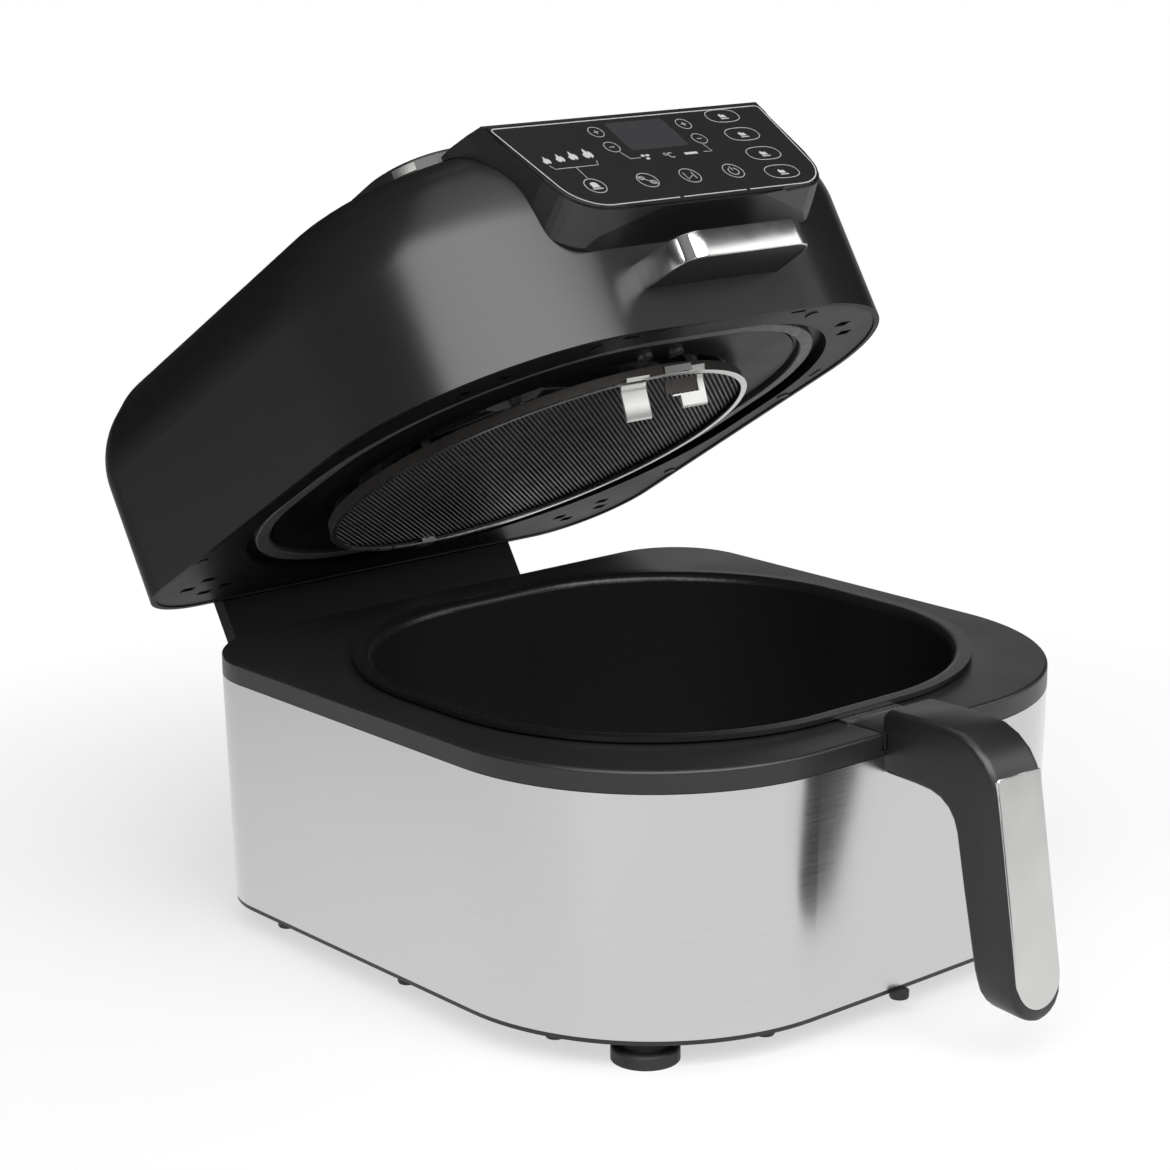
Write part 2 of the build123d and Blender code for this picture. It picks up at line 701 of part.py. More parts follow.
def lid_solid(inset):
    """Outer form of the lid, drawn in by inset on the wall, the shoulder and the top."""
    crease = lid_crease - inset * shoulder_miter
    top_inset = lid_shoulder + inset * shoulder_miter
    with BuildPart() as solid:
        with BuildSketch(lid_frame):
            add(lid_plan(inset))
        extrude(amount=crease)
        with BuildSketch(lid_frame.offset(crease)):
            add(lid_plan(inset))
        with BuildSketch(lid_frame.offset(lid_height - inset)):
            add(lid_plan(top_inset))
        loft(ruled=True)
        fillet(solid.faces().sort_by(lid_up)[-1].edges(), radius=shoulder_round - inset)
        crease_edges = [
            edge
            for edge in solid.edges()
            if abs(lid_frame.to_local_coords(edge @ 0.5).Z - crease) < 0.01
            and abs(lid_frame.to_local_coords(edge @ 0).Z - crease) < 0.01
        ]
        fillet(crease_edges, radius=crease_round - inset)
    return solid.part


# Lid shell: an upright wall that bends softly into a sloping shoulder, which rounds into the top
window_half = panel_low_half - 12.0
lid_cover = lid_solid(-seat_gap)
with BuildPart() as lid_shell:
    add(lid_solid(0))
    add(lid_solid(lid_wall), mode=Mode.SUBTRACT)
    with BuildSketch(lid_profile.offset(-lid_front_y - 40)):
        with Locations((0, panel_low_height + 6)):
            Rectangle(2 * window_half, 38, align=(Align.CENTER, Align.MIN))
    extrude(amount=60, mode=Mode.SUBTRACT)
    with BuildSketch(lid_profile.offset(-lid_back_y - 10)):
        with Locations((0, arm_rise + 12)):
            with GridLocations(vent_pitch, 0, 17, 1):
                SlotOverall(11, vent_slot, rotation=90)
    extrude(amount=30, mode=Mode.SUBTRACT)
lid_shell.part.label = "lid_shell"
export_step(lid_shell.part.moved(to_origin), "parts/lid_shell.step")

# Underside moulding: a flat plate, a raised track for the gasket and small openings near the corners
plate_inset = lid_wall + 0.2
side_x = body_width / 2 - lid_inset
hole_spots = [
    (side_x - 21.9, lid_back_y - 31.4),
    (side_x - 27.8, lid_back_y - 41.6),
    (side_x - 36.7, lid_back_y - 20.8),
    (side_x - 45.2, lid_back_y - 26.8),
    (side_x - 49.5, lid_front_y + 32.1),
    (side_x - 37.5, lid_front_y + 44.6),
]
with BuildPart() as lid_underside:
    with BuildSketch(lid_frame.offset(under_recess)):
        add(lid_plan(plate_inset))
        add(pot_plan(-groove_margin), mode=Mode.SUBTRACT)
    extrude(amount=under_thickness)
    with BuildSketch(lid_frame.offset(under_recess)):
        add(pot_plan(-groove_margin - under_thickness))
        add(pot_plan(-groove_margin), mode=Mode.SUBTRACT)
    extrude(amount=groove_depth + under_thickness)
    with BuildSketch(lid_frame.offset(under_recess + groove_depth)):
        add(pot_plan(-groove_margin - under_thickness))
        add(pot_plan(mouth_inset), mode=Mode.SUBTRACT)
    extrude(amount=under_thickness)
    with BuildSketch(lid_frame.offset(under_recess)):
        for spot_x, spot_y in hole_spots:
            with Locations((spot_x, spot_y), (-spot_x, spot_y)):
                RectangleRounded(7.0, 5.0, 1.0)
        with Locations((48.2, lid_front_y + 6.1), (-48.2, lid_front_y + 6.1)):
            SlotOverall(9, 2.2)
        with Locations((side_x - 9.7, lid_front_y / 3), (9.7 - side_x, lid_front_y / 3)):
            SlotOverall(9, 2.2, rotation=90)
    extrude(amount=under_thickness, mode=Mode.SUBTRACT)
lid_underside.part.label = "lid_underside"
export_step(lid_underside.part.moved(to_origin), "parts/lid_underside.step")

# Silicone gasket that closes on the pot's flange
gasket_height = under_recess + groove_depth
with BuildPart() as gasket:
    with BuildSketch(lid_frame.offset(gasket_height)):
        add(pot_plan(gasket_inset))
        add(pot_plan(gasket_inset + gasket_width), mode=Mode.SUBTRACT)
    extrude(amount=-(gasket_height - flange_rise + lid_gap - gasket_lift))
    fillet(gasket.faces().sort_by(lid_up)[0].edges(), radius=0.8)
gasket.part.label = "gasket"
export_step(gasket.part.moved(to_origin), "parts/gasket.step")

# Heat shield: a stepped black plate that fills the mouth of the underside moulding
shield_bottom = 5.0
shield_wall = 1.0
shield_rim = under_recess + groove_depth + under_thickness
shield_face = shield_bottom + shield_wall
dish_outer = dish_radius + dish_wall
dish_screw_x = 9.0
dish_screw_y = 101.0
with BuildPart() as heat_shield:
    with BuildSketch(lid_frame.offset(shield_bottom)):
        add(pot_plan(mouth_inset + 0.5))
    extrude(amount=shield_rim + shield_wall - shield_bottom)
    with BuildSketch(lid_frame.offset(shield_rim)):
        add(pot_plan(mouth_inset - 6.0))
    extrude(amount=shield_wall)
    with BuildSketch(lid_frame.offset(shield_face)):
        add(pot_plan(mouth_inset + 0.5 + shield_wall))
    extrude(amount=10, mode=Mode.SUBTRACT)
    with BuildSketch(lid_frame):
        Circle(dish_outer + seat_gap)
        with GridLocations(2 * dish_screw_x, 2 * dish_screw_y, 2, 2):
            Circle(2.0)
    extrude(amount=20, mode=Mode.SUBTRACT)
heat_shield.part.label = "heat_shield"
export_step(heat_shield.part.moved(to_origin), "parts/heat_shield.step")

# Spun dish over the heater and fan, with a flange that lies on the heat shield
with BuildPart() as heater_dish:
    with BuildSketch(lid_profile):
        with BuildLine():
            Polyline(
                (dish_radius, shield_face),
                (dish_outer + dish_flange, shield_face),
                (dish_outer + dish_flange, shield_face + dish_wall),
                (dish_outer, shield_face + dish_wall),
                (dish_outer - 8, dish_height + dish_wall),
                (shaft_hole, dish_height + dish_wall),
                (shaft_hole, dish_height),
                (dish_outer - 8 - dish_wall, dish_height),
                close=True,
            )
        make_face()
    revolve(axis=lid_up)
    with BuildSketch(lid_frame):
        with GridLocations(2 * dish_screw_x, 2 * dish_screw_y, 2, 2):
            Circle(2.0)
    extrude(amount=dish_height / 2, mode=Mode.SUBTRACT)
    with BuildSketch(lid_frame.offset(dish_height - 2)):
        with Locations((0, coil_radius), (0, coil_radius - coil_pitch)):
            Circle(coil_tube + 0.3)
    extrude(amount=5, mode=Mode.SUBTRACT)
heater_dish.part.label = "heater_dish"
export_step(heater_dish.part.moved(to_origin), "parts/heater_dish.step")

# Screws that hold the dish to the heat shield
with BuildPart() as dish_screws:
    with BuildSketch(lid_frame.offset(shield_bottom)):
        with GridLocations(2 * dish_screw_x, 2 * dish_screw_y, 2, 2):
            Circle(screw_radius)
    extrude(amount=-1.6)
    with BuildSketch(lid_frame.offset(shield_bottom)):
        with GridLocations(2 * dish_screw_x, 2 * dish_screw_y, 2, 2):
            Circle(2.0 - screw_clearance)
    extrude(amount=6)
dish_screws.part.label = "dish_screws"
export_step(dish_screws.part.moved(to_origin), "parts/dish_screws.step")

# Tubular heater: two rings joined by a link, with two ends up through the dish
inner_coil = coil_radius - coil_pitch
with BuildPart() as heater_coil:
    with BuildSketch(lid_profile):
        with Locations((coil_radius, coil_height)):
            Circle(coil_tube)
    revolve(axis=lid_up)
    with BuildSketch(lid_profile):
        with Locations((inner_coil, coil_height)):
            Circle(coil_tube)
    revolve(axis=lid_up)
    with BuildSketch(side_profile.offset(inner_coil)):
        with Locations((0, coil_height)):
            Circle(coil_tube - 0.4)
    extrude(amount=coil_pitch)
    with BuildSketch(lid_frame.offset(coil_height)):
        with Locations((0, coil_radius), (0, inner_coil)):
            Circle(coil_tube - 0.2)
    extrude(amount=dish_height + 12 - coil_height)
heater_coil.part.label = "heater_coil"
export_step(heater_coil.part.moved(to_origin), "parts/heater_coil.step")

# Three straps that hang the heater from the roof of the dish
strap_width = 7.0
strap_thickness = 1.0
strap_bottom = coil_height + coil_tube + 0.1
with BuildPart() as coil_straps:
    with BuildSketch(lid_frame.offset(strap_bottom)):
        with PolarLocations((coil_radius + inner_coil) / 2, 3, start_angle=30):
            Rectangle(coil_pitch + 2 * coil_tube, strap_width)
    extrude(amount=strap_thickness)
    with BuildSketch(lid_frame.offset(strap_bottom)):
        with PolarLocations(coil_radius - 3, 3, start_angle=30):
            Rectangle(strap_thickness, strap_width)
    extrude(amount=dish_height - strap_bottom)
coil_straps.part.label = "coil_straps"
export_step(coil_straps.part.moved(to_origin), "parts/coil_straps.step")

# Guard ring below the fan, with short posts up to the heat shield
with BuildPart() as guard_ring:
    with BuildSketch(lid_profile):
        with Locations((guard_radius, guard_height)):
            Circle(guard_tube)
    revolve(axis=lid_up)
    with BuildSketch(lid_frame.offset(guard_height)):
        with PolarLocations(guard_radius, 6, start_angle=0):
            Circle(guard_tube - 0.2)
    extrude(amount=shield_bottom - seat_gap - guard_height)
guard_ring.part.label = "guard_ring"
export_step(guard_ring.part.moved(to_origin), "parts/guard_ring.step")

# Perforated guard sheet inside the ring
mesh_radius = guard_radius - guard_tube - 0.2
hook_y = guard_radius - guard_tube - 1.4
with BuildPart() as guard_mesh:
    with BuildSketch(lid_frame.offset(guard_height - mesh_thickness / 2)):
        Circle(mesh_radius)
        for row in range(-6, 7):
            row_y = 2 * row * mesh_pitch
            half_row = sqrt((mesh_radius - 5) ** 2 - row_y ** 2)
            with Locations((half_row / 2 + 1.5, row_y), (-half_row / 2 - 1.5, row_y)):
                SlotOverall(half_row, 2 * mesh_slot, mode=Mode.SUBTRACT)
        with Locations((clip_spacing / 2, clip_y), (-clip_spacing / 2, clip_y)):
            Rectangle(clip_width + 1, 14, mode=Mode.SUBTRACT)
        with Locations((0, hook_y)):
            Rectangle(9.0, 6, mode=Mode.SUBTRACT)
    extrude(amount=mesh_thickness)
guard_mesh.part.label = "guard_mesh"
export_step(guard_mesh.part.moved(to_origin), "parts/guard_mesh.step")

# Front latch of the guard: a foot under the heat shield and two tabs that hang down
lip_top = guard_height - guard_tube - seat_gap
with BuildPart() as guard_latch:
    with BuildSketch(lid_frame.offset(shield_bottom)):
        with Locations((0, clip_y)):
            Rectangle(clip_spacing + clip_width, 11.0, align=(Align.CENTER, Align.MAX))
        with Locations((dish_screw_x, -dish_screw_y), (-dish_screw_x, -dish_screw_y)):
            Circle(screw_radius + 0.3, mode=Mode.SUBTRACT)
    extrude(amount=-clip_thickness)
    with BuildSketch(side_profile.offset(clip_spacing / 2)):
        with BuildLine():
            Polyline(
                (clip_y, shield_bottom),
                (clip_y + clip_thickness, shield_bottom),
                (clip_y + clip_thickness, lip_top),
                (clip_y + 6 + clip_thickness, -clip_drop),
                (clip_y + 6, -clip_drop),
                (clip_y, lip_top - clip_thickness),
                (clip_y - 7, lip_top - clip_thickness),
                (clip_y - 7, lip_top),
                (clip_y, lip_top),
                close=True,
            )
        make_face()
    tab = extrude(amount=clip_width / 2, both=True)
    mirror(tab, about=Plane.YZ)
guard_latch.part.label = "guard_latch"
export_step(guard_latch.part.moved(to_origin), "parts/guard_latch.step")

# Rear hook that carries the guard ring
with BuildPart() as guard_hook:
    with BuildSketch(side_profile):
        with BuildLine():
            Polyline(
                (hook_y, shield_bottom),
                (hook_y + 9, shield_bottom),
                (hook_y + 9, shield_bottom - clip_thickness),
                (hook_y + clip_thickness, shield_bottom - clip_thickness),
                (hook_y + clip_thickness, lip_top),
                (hook_y + 6, lip_top),
                (hook_y + 6, lip_top - clip_thickness),
                (hook_y, lip_top - clip_thickness),
                close=True,
            )
        make_face()
    extrude(amount=4.0, both=True)
guard_hook.part.label = "guard_hook"
export_step(guard_hook.part.moved(to_origin), "parts/guard_hook.step")

# Fan: bent blades on a hub, seen through the guard
with BuildPart() as fan_blades:
    with BuildSketch(lid_frame.offset(fan_height)):
        Circle(14)
    extrude(amount=blade_height)
    with BuildSketch(lid_frame.offset(fan_height + blade_height - 1.2)):
        Circle(fan_radius - 18)
    extrude(amount=1.2)
    with BuildSketch(lid_frame.offset(fan_height)):
        with PolarLocations(fan_radius / 2 + 4, blade_count):
            Rectangle(fan_radius - 8, 1.6, rotation=14)
    extrude(amount=blade_height)
    with BuildSketch(lid_frame.offset(fan_height)):
        Circle(shaft_radius)
    extrude(amount=blade_height, mode=Mode.SUBTRACT)
fan_blades.part.label = "fan_blades"
export_step(fan_blades.part.moved(to_origin), "parts/fan_blades.step")

# Shaft from the fan up through the motor
shaft_top = dish_height + dish_wall + motor_lift + motor_length + 12
with BuildPart() as fan_shaft:
    with BuildSketch(lid_frame.offset(fan_height - 4)):
        Circle(shaft_radius)
    extrude(amount=shaft_top - fan_height + 4)
    chamfer(fan_shaft.edges().filter_by(GeomType.CIRCLE), length=0.5)
fan_shaft.part.label = "fan_shaft"
export_step(fan_shaft.part.moved(to_origin), "parts/fan_shaft.step")

# Motor bracket: a plate on three legs that stand on the dish
dish_top = dish_height + dish_wall
motor_bottom = dish_top + motor_lift
with BuildPart() as motor_bracket:
    with BuildSketch(lid_frame.offset(motor_bottom - 1.5)):
        Circle(motor_radius + 6)
        Circle(shaft_radius + 4, mode=Mode.SUBTRACT)
    extrude(amount=1.5)
    with BuildSketch(lid_frame.offset(dish_top)):
        with PolarLocations(motor_radius, 3, start_angle=90):
            Circle(4)
    extrude(amount=motor_lift - 1.5)
motor_bracket.part.label = "motor_bracket"
export_step(motor_bracket.part.moved(to_origin), "parts/motor_bracket.step")

# Motor with its bearing noses, bored for the shaft
motor_top = motor_bottom + motor_length
with BuildPart() as motor:
    with BuildSketch(lid_frame.offset(motor_bottom)):
        Circle(motor_radius)
    extrude(amount=motor_length)
    fillet(motor.faces().sort_by(lid_up)[-1].edges(), radius=4)
    with BuildSketch(lid_frame.offset(motor_top)):
        Circle(9)
    extrude(amount=2)
    with BuildSketch(lid_frame.offset(motor_bottom)):
        Circle(shaft_radius + pin_clearance)
    extrude(amount=motor_length + 2, mode=Mode.SUBTRACT)
    with BuildSketch(lid_frame.offset(motor_top - 12)):
        with PolarLocations(motor_radius, 10):
            Rectangle(5, 4)
    extrude(amount=-12, mode=Mode.SUBTRACT)
motor.part.label = "motor"
export_step(motor.part.moved(to_origin), "parts/motor.step")

# Cooling fan above the motor, on the same shaft
cooling_bottom = motor_top + 4
with BuildPart() as cooling_fan:
    with BuildSketch(lid_frame.offset(cooling_bottom)):
        Circle(cooling_fan_radius - 4)
    extrude(amount=1.2)
    with BuildSketch(lid_frame.offset(cooling_bottom)):
        Circle(8)
        with PolarLocations(cooling_fan_radius / 2 + 2, 8):
            Rectangle(cooling_fan_radius - 4, 1.4)
    extrude(amount=cooling_blade_height)
    with BuildSketch(lid_frame.offset(cooling_bottom)):
        Circle(shaft_radius)
    extrude(amount=cooling_blade_height, mode=Mode.SUBTRACT)
cooling_fan.part.label = "cooling_fan"
export_step(cooling_fan.part.moved(to_origin), "parts/cooling_fan.step")

# Thermostat on the roof of the dish
with BuildPart() as thermostat:
    with BuildSketch(lid_frame.offset(dish_top)):
        with Locations((52, 30)):
            Circle(8)
    extrude(amount=7)
    with BuildSketch(lid_frame.offset(dish_top + 7)):
        with Locations((52, 30)):
            with GridLocations(7, 0, 2, 1):
                Rectangle(1, 4)
    extrude(amount=6)
thermostat.part.label = "thermostat"
export_step(thermostat.part.moved(to_origin), "parts/thermostat.step")

# Frame of the panel face: origin at the middle of its upper edge, y up the slope, z outward
tilt = radians(panel_tilt)
panel_frame = Plane(
    origin=lid_frame.from_local_coords((0, panel_top_y, panel_top_height)),
    x_dir=(1, 0, 0),
    z_dir=lid_frame.z_dir * cos(tilt) - lid_frame.y_dir * sin(tilt),
)


def panel_plan(inset):
    """Outline of the panel face, narrower at its foot and round at its lower corners."""
    with BuildSketch() as shape:
        with BuildLine():
            Polyline(
                (panel_top_half - inset, -inset),
                (-panel_top_half + inset, -inset),
                (-panel_low_half + inset, -panel_length + inset),
                (panel_low_half - inset, -panel_length + inset),
                close=True,
            )
        make_face()
        fillet(shape.vertices().group_by(Axis.Y)[0], radius=panel_corner - inset)
    return shape.sketch


# Panel housing: a wedge on the front of the lid, with a roof over the shoulder
glass_seat = glass_thickness - glass_proud
roof_y = cap_front_y - seat_gap
with BuildPart() as panel_housing:
    with BuildSketch(side_profile):
        with BuildLine():
            Polyline(
                (panel_top_y, panel_top_height),
                (panel_low_y, panel_low_height),
                (lid_front_y - 1, panel_low_height - skirt_drop),
                (lid_front_y + 20, panel_low_height - skirt_drop),
                (roof_y, lid_height - 20),
                (roof_y, lid_height + 1.6),
                (panel_top_y + 22, lid_height + 2.0),
                close=True,
            )
        make_face()
    extrude(amount=panel_top_half, both=True)
    with BuildSketch(lid_profile):
        with BuildLine():
            Polyline(
                (panel_top_half, lid_height + 10),
                (-panel_top_half, lid_height + 10),
                (-panel_top_half, panel_top_height),
                (-panel_low_half, panel_low_height - skirt_drop),
                (panel_low_half, panel_low_height - skirt_drop),
                (panel_top_half, panel_top_height),
                close=True,
            )
        make_face()
        fillet(vertices().group_by(Axis.Y)[0], radius=panel_corner)
    extrude(amount=200, mode=Mode.INTERSECT)
    add(lid_cover, mode=Mode.SUBTRACT)
    with BuildSketch(panel_frame):
        add(panel_plan(glass_margin - 0.2))
    extrude(amount=-glass_seat, mode=Mode.SUBTRACT)
    with BuildSketch(panel_frame):
        add(panel_plan(glass_margin + housing_wall))
    extrude(amount=-40, mode=Mode.SUBTRACT)
panel_housing.part.label = "panel_housing"
export_step(panel_housing.part.moved(to_origin), "parts/panel_housing.step")

# Glossy control panel let into the housing
with BuildPart() as control_panel:
    with BuildSketch(panel_frame.offset(glass_proud - glass_thickness)):
        add(panel_plan(glass_margin))
    extrude(amount=glass_thickness)
control_panel.part.label = "control_panel"
export_step(control_panel.part.moved(to_origin), "parts/control_panel.step")

# Display block behind the panel
display_y = -15.0
with BuildPart() as display_module:
    with BuildSketch(panel_frame.offset(-glass_seat)):
        with Locations((0, display_y)):
            Rectangle(34, 20)
    extrude(amount=-3.5)
display_module.part.label = "display_module"
export_step(display_module.part.moved(to_origin), "parts/display_module.step")

# Control board behind the display
with BuildPart() as control_board:
    with BuildSketch(panel_frame.offset(-glass_seat - 3.5)):
        with Locations((0, -26)):
            Rectangle(110, 36)
    extrude(amount=-1.6)
control_board.part.label = "control_board"
export_step(control_board.part.moved(to_origin), "parts/control_board.step")


def grip_plan(inset):
    """Grip in plan: it narrows forward and has round front corners."""
    with BuildSketch() as shape:
        with BuildLine():
            Polyline(
                (grip_half - inset, lid_front_y + 8),
                (-grip_half + inset, lid_front_y + 8),
                (-grip_front_half + inset, lid_front_y - grip_reach + inset),
                (grip_front_half - inset, lid_front_y - grip_reach + inset),
                close=True,
            )
        make_face()
        fillet(shape.vertices().group_by(Axis.Y)[0], radius=grip_round - inset)
    return shape.sketch


# Black grip on the front wall of the lid
with BuildPart() as grip_body:
    with BuildSketch(lid_frame.offset(grip_bottom + 0.4)):
        add(grip_plan(trim_thickness))
    extrude(amount=grip_height - 0.8)
    add(lid_cover, mode=Mode.SUBTRACT)
grip_body.part.label = "grip_body"
export_step(grip_body.part.moved(to_origin), "parts/grip_body.step")

# Steel band round the front and sides of the grip
with BuildPart() as grip_trim:
    with BuildSketch(lid_frame.offset(grip_bottom)):
        add(grip_plan(0))
        add(grip_plan(trim_thickness), mode=Mode.SUBTRACT)
    extrude(amount=grip_height)
    with BuildSketch(lid_frame.offset(grip_bottom)):
        with Locations((0, lid_front_y - 1.5)):
            Rectangle(120, 60, align=(Align.CENTER, Align.MIN))
    extrude(amount=grip_height, mode=Mode.SUBTRACT)
grip_trim.part.label = "grip_trim"
export_step(grip_trim.part.moved(to_origin), "parts/grip_trim.step")

# Shallow cap on the flat top of the lid
cap_wall = 2.2
cap_depth = cap_back_y - cap_front_y
cap_middle = (cap_back_y + cap_front_y) / 2
with BuildPart() as top_cap:
    with BuildSketch(lid_frame.offset(lid_height)):
        with Locations((0, cap_middle)):
            RectangleRounded(2 * cap_half_width, cap_depth, cap_corner)
    extrude(amount=cap_height)
    fillet(top_cap.faces().sort_by(lid_up)[-1].edges(), radius=1.5)
    with BuildSketch(lid_frame.offset(lid_height)):
        with Locations((0, cap_middle)):
            RectangleRounded(
                2 * (cap_half_width - cap_wall),
                cap_depth - 2 * cap_wall,
                cap_corner - cap_wall,
            )
    extrude(amount=cap_height - cap_wall, mode=Mode.SUBTRACT)
top_cap.part.label = "top_cap"
export_step(top_cap.part.moved(to_origin), "parts/top_cap.step")

# Short steel trims round the front corners of the cap
trim_x = cap_half_width - cap_corner
trim_y = cap_front_y + cap_corner
with BuildPart() as cap_trims:
    with BuildSketch(lid_frame.offset(lid_height + 1.0)):
        with Locations((-trim_x, trim_y)):
            Circle(cap_corner + cap_trim_thickness)
            Circle(cap_corner + 0.05, mode=Mode.SUBTRACT)
        with BuildLine():
            Polyline(
                (-trim_x, trim_y),
                (-trim_x + 60 * cos(radians(cap_trim_start)), trim_y + 60 * sin(radians(cap_trim_start))),
                (-trim_x + 60 * cos(radians(cap_trim_end)), trim_y + 60 * sin(radians(cap_trim_end))),
                close=True,
            )
        make_face(mode=Mode.INTERSECT)
    extrude(amount=cap_trim_height)
    mirror(about=Plane.YZ)
cap_trims.part.label = "cap_trims"
export_step(cap_trims.part.moved(to_origin), "parts/cap_trims.step")

# Screws that hold the underside moulding to the lid
under_spots = [
    (side_x - 6.5, lid_back_y / 2),
    (side_x - 6.5, -20.0),
    (60.0, lid_back_y - 11.0),
    (62.0, lid_front_y + 13.0),
]
with BuildPart() as underside_screws:
    with BuildSketch(lid_frame.offset(under_recess)):
        for spot_x, spot_y in under_spots:
            with Locations((spot_x, spot_y), (-spot_x, spot_y)):
                Circle(screw_radius - 0.5)
    extrude(amount=-0.5)
underside_screws.part.label = "underside_screws"
export_step(underside_screws.part.moved(to_origin), "parts/underside_screws.step")

# Gland in the back of the hinge arm for the mains lead
gland_x = 40.0
gland_height = 26.0
with BuildPart() as cord_gland:
    with BuildSketch(lid_profile.offset(-arm_back_y)):
        with Locations((gland_x, gland_height)):
            Circle(8)
            Circle(4, mode=Mode.SUBTRACT)
    extrude(amount=-4)
cord_gland.part.label = "cord_gland"
export_step(cord_gland.part.moved(to_origin), "parts/cord_gland.step")

# Screws up through the base plate into the hinge brackets
with BuildPart() as bracket_screws:
    with BuildSketch(Plane.XY.offset(plate_bottom)):
        with Locations((lug_centre, bracket_bolt_y), (-lug_centre, bracket_bolt_y)):
            with GridLocations(2 * bracket_bolt_x, 0, 2, 1):
                Circle(screw_radius)
    extrude(amount=-1.4)
    with BuildSketch(Plane.XY.offset(plate_bottom)):
        with Locations((lug_centre, bracket_bolt_y), (-lug_centre, bracket_bolt_y)):
            with GridLocations(2 * bracket_bolt_x, 0, 2, 1):
                Circle(2.0 - screw_clearance)
    extrude(amount=plate_thickness + foot_plate_height)
bracket_screws.part.label = "bracket_screws"
export_step(bracket_screws.part.moved(to_origin), "parts/bracket_screws.step")
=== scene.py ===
from math import cos, radians, sin, sqrt

import bmesh
import bpy
from mathutils import Matrix, Vector


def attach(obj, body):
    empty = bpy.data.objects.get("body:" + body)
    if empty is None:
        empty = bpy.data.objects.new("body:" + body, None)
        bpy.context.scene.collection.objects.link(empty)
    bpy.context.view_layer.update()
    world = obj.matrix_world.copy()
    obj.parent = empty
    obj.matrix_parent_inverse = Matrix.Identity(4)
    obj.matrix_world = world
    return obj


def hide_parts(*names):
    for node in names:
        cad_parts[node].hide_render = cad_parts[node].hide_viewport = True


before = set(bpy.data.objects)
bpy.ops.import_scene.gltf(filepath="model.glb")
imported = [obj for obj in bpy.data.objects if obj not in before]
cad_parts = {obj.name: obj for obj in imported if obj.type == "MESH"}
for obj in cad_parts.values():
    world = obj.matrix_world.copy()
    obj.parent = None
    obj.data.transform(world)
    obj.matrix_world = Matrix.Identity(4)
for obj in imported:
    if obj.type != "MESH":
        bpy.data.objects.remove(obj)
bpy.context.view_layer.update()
scene = bpy.context.scene
scene.view_settings.view_transform = "Standard"


# Base plate and top frame: satin black plastic with a fine spark-eroded grain, each moulded in one
# piece. The plate closes the body from below, and the frame sits on the band's upper edge.
class Socket:
    """A shader socket. Arithmetic on it adds a Math node, and node() adds any other kind."""

    def __init__(self, tree, output):
        self.tree = tree
        self.output = output

    def link(self, target, value):
        if isinstance(value, Socket):
            self.tree.links.new(value.output, target)
        else:
            target.default_value = value

    def math(self, operation, *values):
        made = self.tree.nodes.new("ShaderNodeMath")
        made.operation = operation
        for target, value in zip(made.inputs, values):
            self.link(target, value)
        return Socket(self.tree, made.outputs[0])

    def node(self, kind, output=0, settings=(), **inputs):
        made = self.tree.nodes.new(kind)
        for name, value in settings:
            setattr(made, name, value)
        for name, value in inputs.items():
            self.link(made.inputs[name.replace("_", " ")], value)
        return Socket(self.tree, made.outputs[output])

    def mix(self, factor, first, second):
        made = self.tree.nodes.new("ShaderNodeMix")
        made.data_type = "RGBA"
        for index, value in ((0, factor), (6, first), (7, second)):
            self.link(made.inputs[index], value)
        return Socket(self.tree, made.outputs[2])

    def ramp(self, low_in, high_in, low_out=0.0, high_out=1.0):
        made = self.tree.nodes.new("ShaderNodeMapRange")
        for target, value in zip(made.inputs[:5], (self, low_in, high_in, low_out, high_out)):
            self.link(target, value)
        return Socket(self.tree, made.outputs[0])

    def __add__(self, other):
        return self.math("ADD", self, other)

    def __radd__(self, other):
        return self.math("ADD", other, self)

    def __sub__(self, other):
        return self.math("SUBTRACT", self, other)

    def __rsub__(self, other):
        return self.math("SUBTRACT", other, self)

    def __mul__(self, other):
        return self.math("MULTIPLY", self, other)

    def __rmul__(self, other):
        return self.math("MULTIPLY", other, self)

    def __truediv__(self, other):
        return self.math("DIVIDE", self, other)

    def __rtruediv__(self, other):
        return self.math("DIVIDE", other, self)


def material(name, color, **constants):
    """A principled material. Gives the material, its shader node and its object coordinates."""
    made = bpy.data.materials.new(name)
    made.use_nodes = True
    shader = made.node_tree.nodes["Principled BSDF"]
    shader.inputs["Base Color"].default_value = (*color, 1)
    for key, value in constants.items():
        shader.inputs[key.replace("_", " ")].default_value = value
    coordinates = made.node_tree.nodes.new("ShaderNodeTexCoord")
    return made, shader, Socket(made.node_tree, coordinates.outputs["Object"])


def coat(finish, *names):
    """Gives CAD nodes their finish."""
    for name in names:
        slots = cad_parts[name].data.materials
        slots.clear()
        slots.append(finish)


black_plastic, shader, at = material("black_plastic", (0.011, 0.011, 0.011), Roughness=0.4)
shader.inputs["Specular IOR Level"].default_value = 0.5
grain = at.node("ShaderNodeTexNoise", Vector=at, Scale=2600.0, Detail=2.0)
cloud = at.node("ShaderNodeTexNoise", Vector=at, Scale=14.0, Detail=3.0)
at.link(shader.inputs["Roughness"], cloud.ramp(0.3, 0.7, 0.32, 0.42) + (grain - 0.5) * 0.08)
bump = at.node("ShaderNodeBump", Height=grain, Strength=0.12, Distance=0.0002)
at.link(shader.inputs["Normal"], bump)
coat(black_plastic, "base_plate", "top_rim")


# Four round rubber feet, dull and a little dusty, each held in the base plate by a plain steel
# screw from below.
def mottle(shader, at, scale, detail, smooth, rough):
    """Lets the roughness wander between two values, in patches of the given scale."""
    patches = at.node("ShaderNodeTexNoise", Vector=at, Scale=scale, Detail=detail)
    at.link(shader.inputs["Roughness"], patches.ramp(0.3, 0.7, smooth, rough))
    return patches


